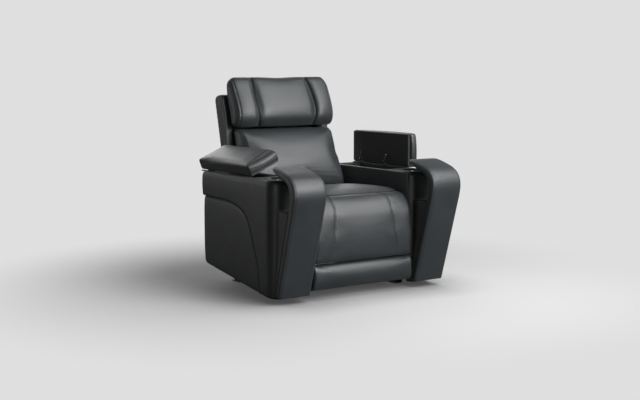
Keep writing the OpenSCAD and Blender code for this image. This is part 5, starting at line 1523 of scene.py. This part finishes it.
def buildArm(side, sign):
    a = arm
    bandPath = Bend(armPath(a["outX"], a["rearY"]), sign)
    total = bandPath.run[-1]
    rearRun = float(outerRun(bandPath, a["rearY"] - a["rearR"]))
    onSide = seamCurve[seamCurve[:, 0] < a["rearY"] - a["rearR"]]
    startY = onSide[0, 0]
    frontLow = [[u, float(armLowZ(bandPath.path[min(np.searchsorted(bandPath.run, u), 1199), 1]))]
                for u in np.linspace(0.0, float(outerRun(bandPath, startY)), 60)]
    seamRuns = np.column_stack([outerRun(bandPath, onSide[:, 0]), onSide[:, 1]])
    rearLow = [[u, onSide[-1, 1]] for u in np.linspace(rearRun, total, 20)[1:]]
    top = [[u, a["topZ"]] for u in np.linspace(total, 0, 120)]
    outline = np.vstack([frontLow, seamRuns, rearLow, top])
    band = sheetPiece("band_" + side, outline, lambda u, v, n: bandPath(u, v, n - 0.0015),
                      a["skin"] - 0.002, a["bandEdge"], a["bandCrown"], materials["arm_leather"],
                      reachAt=lambda p: np.interp(p[:, 1], [a["topZ"] - 0.07, a["topZ"] - 0.03],
                                                  [a["bandSeamReach"], a["bandTopReach"]]))
    panelPath = Bend(armPath(a["outX"] - a["setIn"], a["rearY"] - a["overhang"]), sign)
    slope = math.atan((a["lowRearZ"] - a["lowFrontZ"]) / armLength)
    rearY = a["rearY"] - a["overhang"]
    heel = (rearY - a["heelR"], float(armLowZ(rearY - a["heelR"])) + a["heelR"] / math.cos(slope))
    heelArc = arcOf(heel, a["heelR"], math.degrees(slope) - 90, 0, 24)
    heelArc = heelArc[heelArc[:, 0] < rearY - 0.002]
    bottomY = np.linspace(startY + a["seamGap"], heelArc[0, 0], 60)[:-1]
    bottom = np.column_stack([outerRun(panelPath, bottomY), armLowZ(bottomY)])
    rise = np.column_stack([outerRun(panelPath, heelArc[:, 0]), heelArc[:, 1]])
    backRuns = np.linspace(rise[-1, 0], panelPath.run[-1], 20)[1:]
    rearBottom = np.column_stack([backRuns, np.full(19, heelArc[-1, 1])])
    upper = seamCurve[seamCurve[:, 0] < rearY - a["rearR"]]
    upper = upper + sideways(upper) * a["seamGap"]
    upper[:, 1] = np.maximum(upper[:, 1], armLowZ(upper[:, 0]) + 0.0005)
    upperRear = np.column_stack([backRuns[::-1], np.full(19, upper[-1, 1])])
    upperRuns = np.column_stack([outerRun(panelPath, upper[:, 0]), upper[:, 1]])[::-1]
    outline = np.vstack([bottom, rise, rearBottom, upperRear, upperRuns])
    panel = sheetPiece("panel_" + side, outline, lambda u, v, n: panelPath(u, v, n - 0.001),
                       a["skin"] - a["setIn"] - 0.001, a["panelEdge"], a["panelCrown"],
                       materials["arm_leather"])
    piping = np.vstack([upperRuns[::-1], upperRear[::-1]])
    down = np.full(len(piping), -a["weltDown"])
    weltAlong("base", "arm_leather", panelPath(piping[:, 0], piping[:, 1], down), a["weltRadius"])
    row = upperRuns[::-1]
    row = row + sideways(row) * a["stitchIn"]
    stitchAlong("base", panel, panelPath(row[:, 0], row[:, 1], np.zeros(len(row))))
    return band, panel


for side, sign in sides:
    band, panel = buildArm(side, sign)
    dress(band, "base", ["arm_band_" + side])
    dress(panel, "base", ["arm_panel_" + side])

# Inner arm pads, decks round the cup holders

innerPad = {"lowZ": 0.0465, "thick": 0.01, "edge": 0.006, "crown": 0.0015,
            "switch": (-0.2, -0.08, 0.534, 0.566)}
deck = {"frontY": -0.405, "rearY": -0.215, "inX": 0.323, "outX": 0.486, "cornerR": 0.038,
        "thick": 0.017, "edge": 0.004, "crown": 0.0012, "hole": (0.4085, -0.33, 0.0469)}


def buildInner(side, sign):
    a = arm
    centreY = a["frontY"] + a["cornerR"]
    endTurn = 180 + math.degrees(math.asin((centreY - a["voidFrontY"] + a["tuck"] / 3) / a["cornerR"]))
    frontArc = arcOf((a["inX"] + a["cornerR"], centreY), a["cornerR"], 180, endTurn, 20)
    path = Bend(np.vstack([[[a["inX"], a["voidRearY"]]], frontArc]), sign)
    runs = np.linspace(0.001, path.run[-1] - 0.001, 90)
    ys = np.interp(runs, path.run, path.path[:, 1])
    low = np.column_stack([runs, np.maximum(armLowZ(ys), innerPad["lowZ"])])
    top = np.column_stack([runs[::-1], np.full(90, a["topZ"] - 0.0005)])
    y0, y1, z0, z1 = innerPad["switch"]
    # the path runs towards the front, from the arm's rear; only the left arm has the switches' window
    u0, u1 = a["voidRearY"] - y1, a["voidRearY"] - y0
    holes = [np.array([[u0, z0], [u1, z0], [u1, z1], [u0, z1]])] if side == "left" else []
    return sheetPiece("inner_pad_" + side, np.vstack([low, top]), path, innerPad["thick"],
                      innerPad["edge"], innerPad["crown"], materials["arm_leather"], holes=holes,
                      spacing=0.012)


def buildDeck(side, sign):
    d = deck
    outline = np.vstack([
        [[d["inX"], d["frontY"]]],
        arcOf((d["outX"] - d["cornerR"], d["frontY"] + d["cornerR"]), d["cornerR"], 270, 360, 16),
        [[d["outX"], d["rearY"]], [d["inX"], d["rearY"]]]])
    hole = arcOf(d["hole"][:2], d["hole"][2], 0, 360, 65)[:-1]
    top = arm["topZ"] - 0.0008
    return sheetPiece("deck_" + side, outline,
                      lambda u, v, n: np.column_stack([u * sign, v, top + n]), d["thick"], d["edge"],
                      d["crown"], materials["arm_leather"], holes=[hole], spacing=0.008)


innerPads = joinPieces("inner_arm_pads", [buildInner(side, sign) for side, sign in sides])
dress(innerPads, "base", ["arm_inner_pads"])
decks = joinPieces("arm_top_decks", [buildDeck(side, sign) for side, sign in sides])
dress(decks, "base", ["arm_decks"])
dress(buildFlaps(), "base")
print("arms upholstered")

# Back shell: the board-backed skin round the back, from the CAD node's own walls

shellLook = {"voxel": 0.006, "soften": 3}


def buildShell():
    source = frame["nodes"]["back_shell"]
    shape = bmesh.new()
    shape.from_mesh(source.data)
    bmesh.ops.remove_doubles(shape, verts=shape.verts, dist=1e-5)
    mesh = bpy.data.meshes.new("back_shell_skin")
    shape.to_mesh(mesh)
    shape.free()
    piece = addObject("back_shell_skin", mesh)
    mesh.materials.clear()
    mesh.materials.append(materials["arm_leather"])
    remesh(piece, shellLook["voxel"])
    smooth = piece.modifiers.new("soften", "SMOOTH")
    smooth.factor = 0.5
    smooth.iterations = shellLook["soften"]
    bakeModifiers(piece)
    subdivide(piece)
    return piece


shell = buildShell()
dress(shell, "back", ["back_shell"])
print("back shell made")

# Stitches and welts, grown along the queued lines

for body, lines in sewingLines.items():
    piece = lineMesh("stitches_" + body, lines)
    growNodes(piece, stitches, Material=thread)
    dress(piece, body)
for (body, slot, radius), lines in weltLines.items():
    piece = lineMesh("welts_" + body, [(line, np.zeros((0, 3))) for line in lines])
    growNodes(piece, welts, Radius=radius, Material=materials[slot])
    piece.data.shade_smooth()
    dress(piece, body)
print("stitches and welts grown")
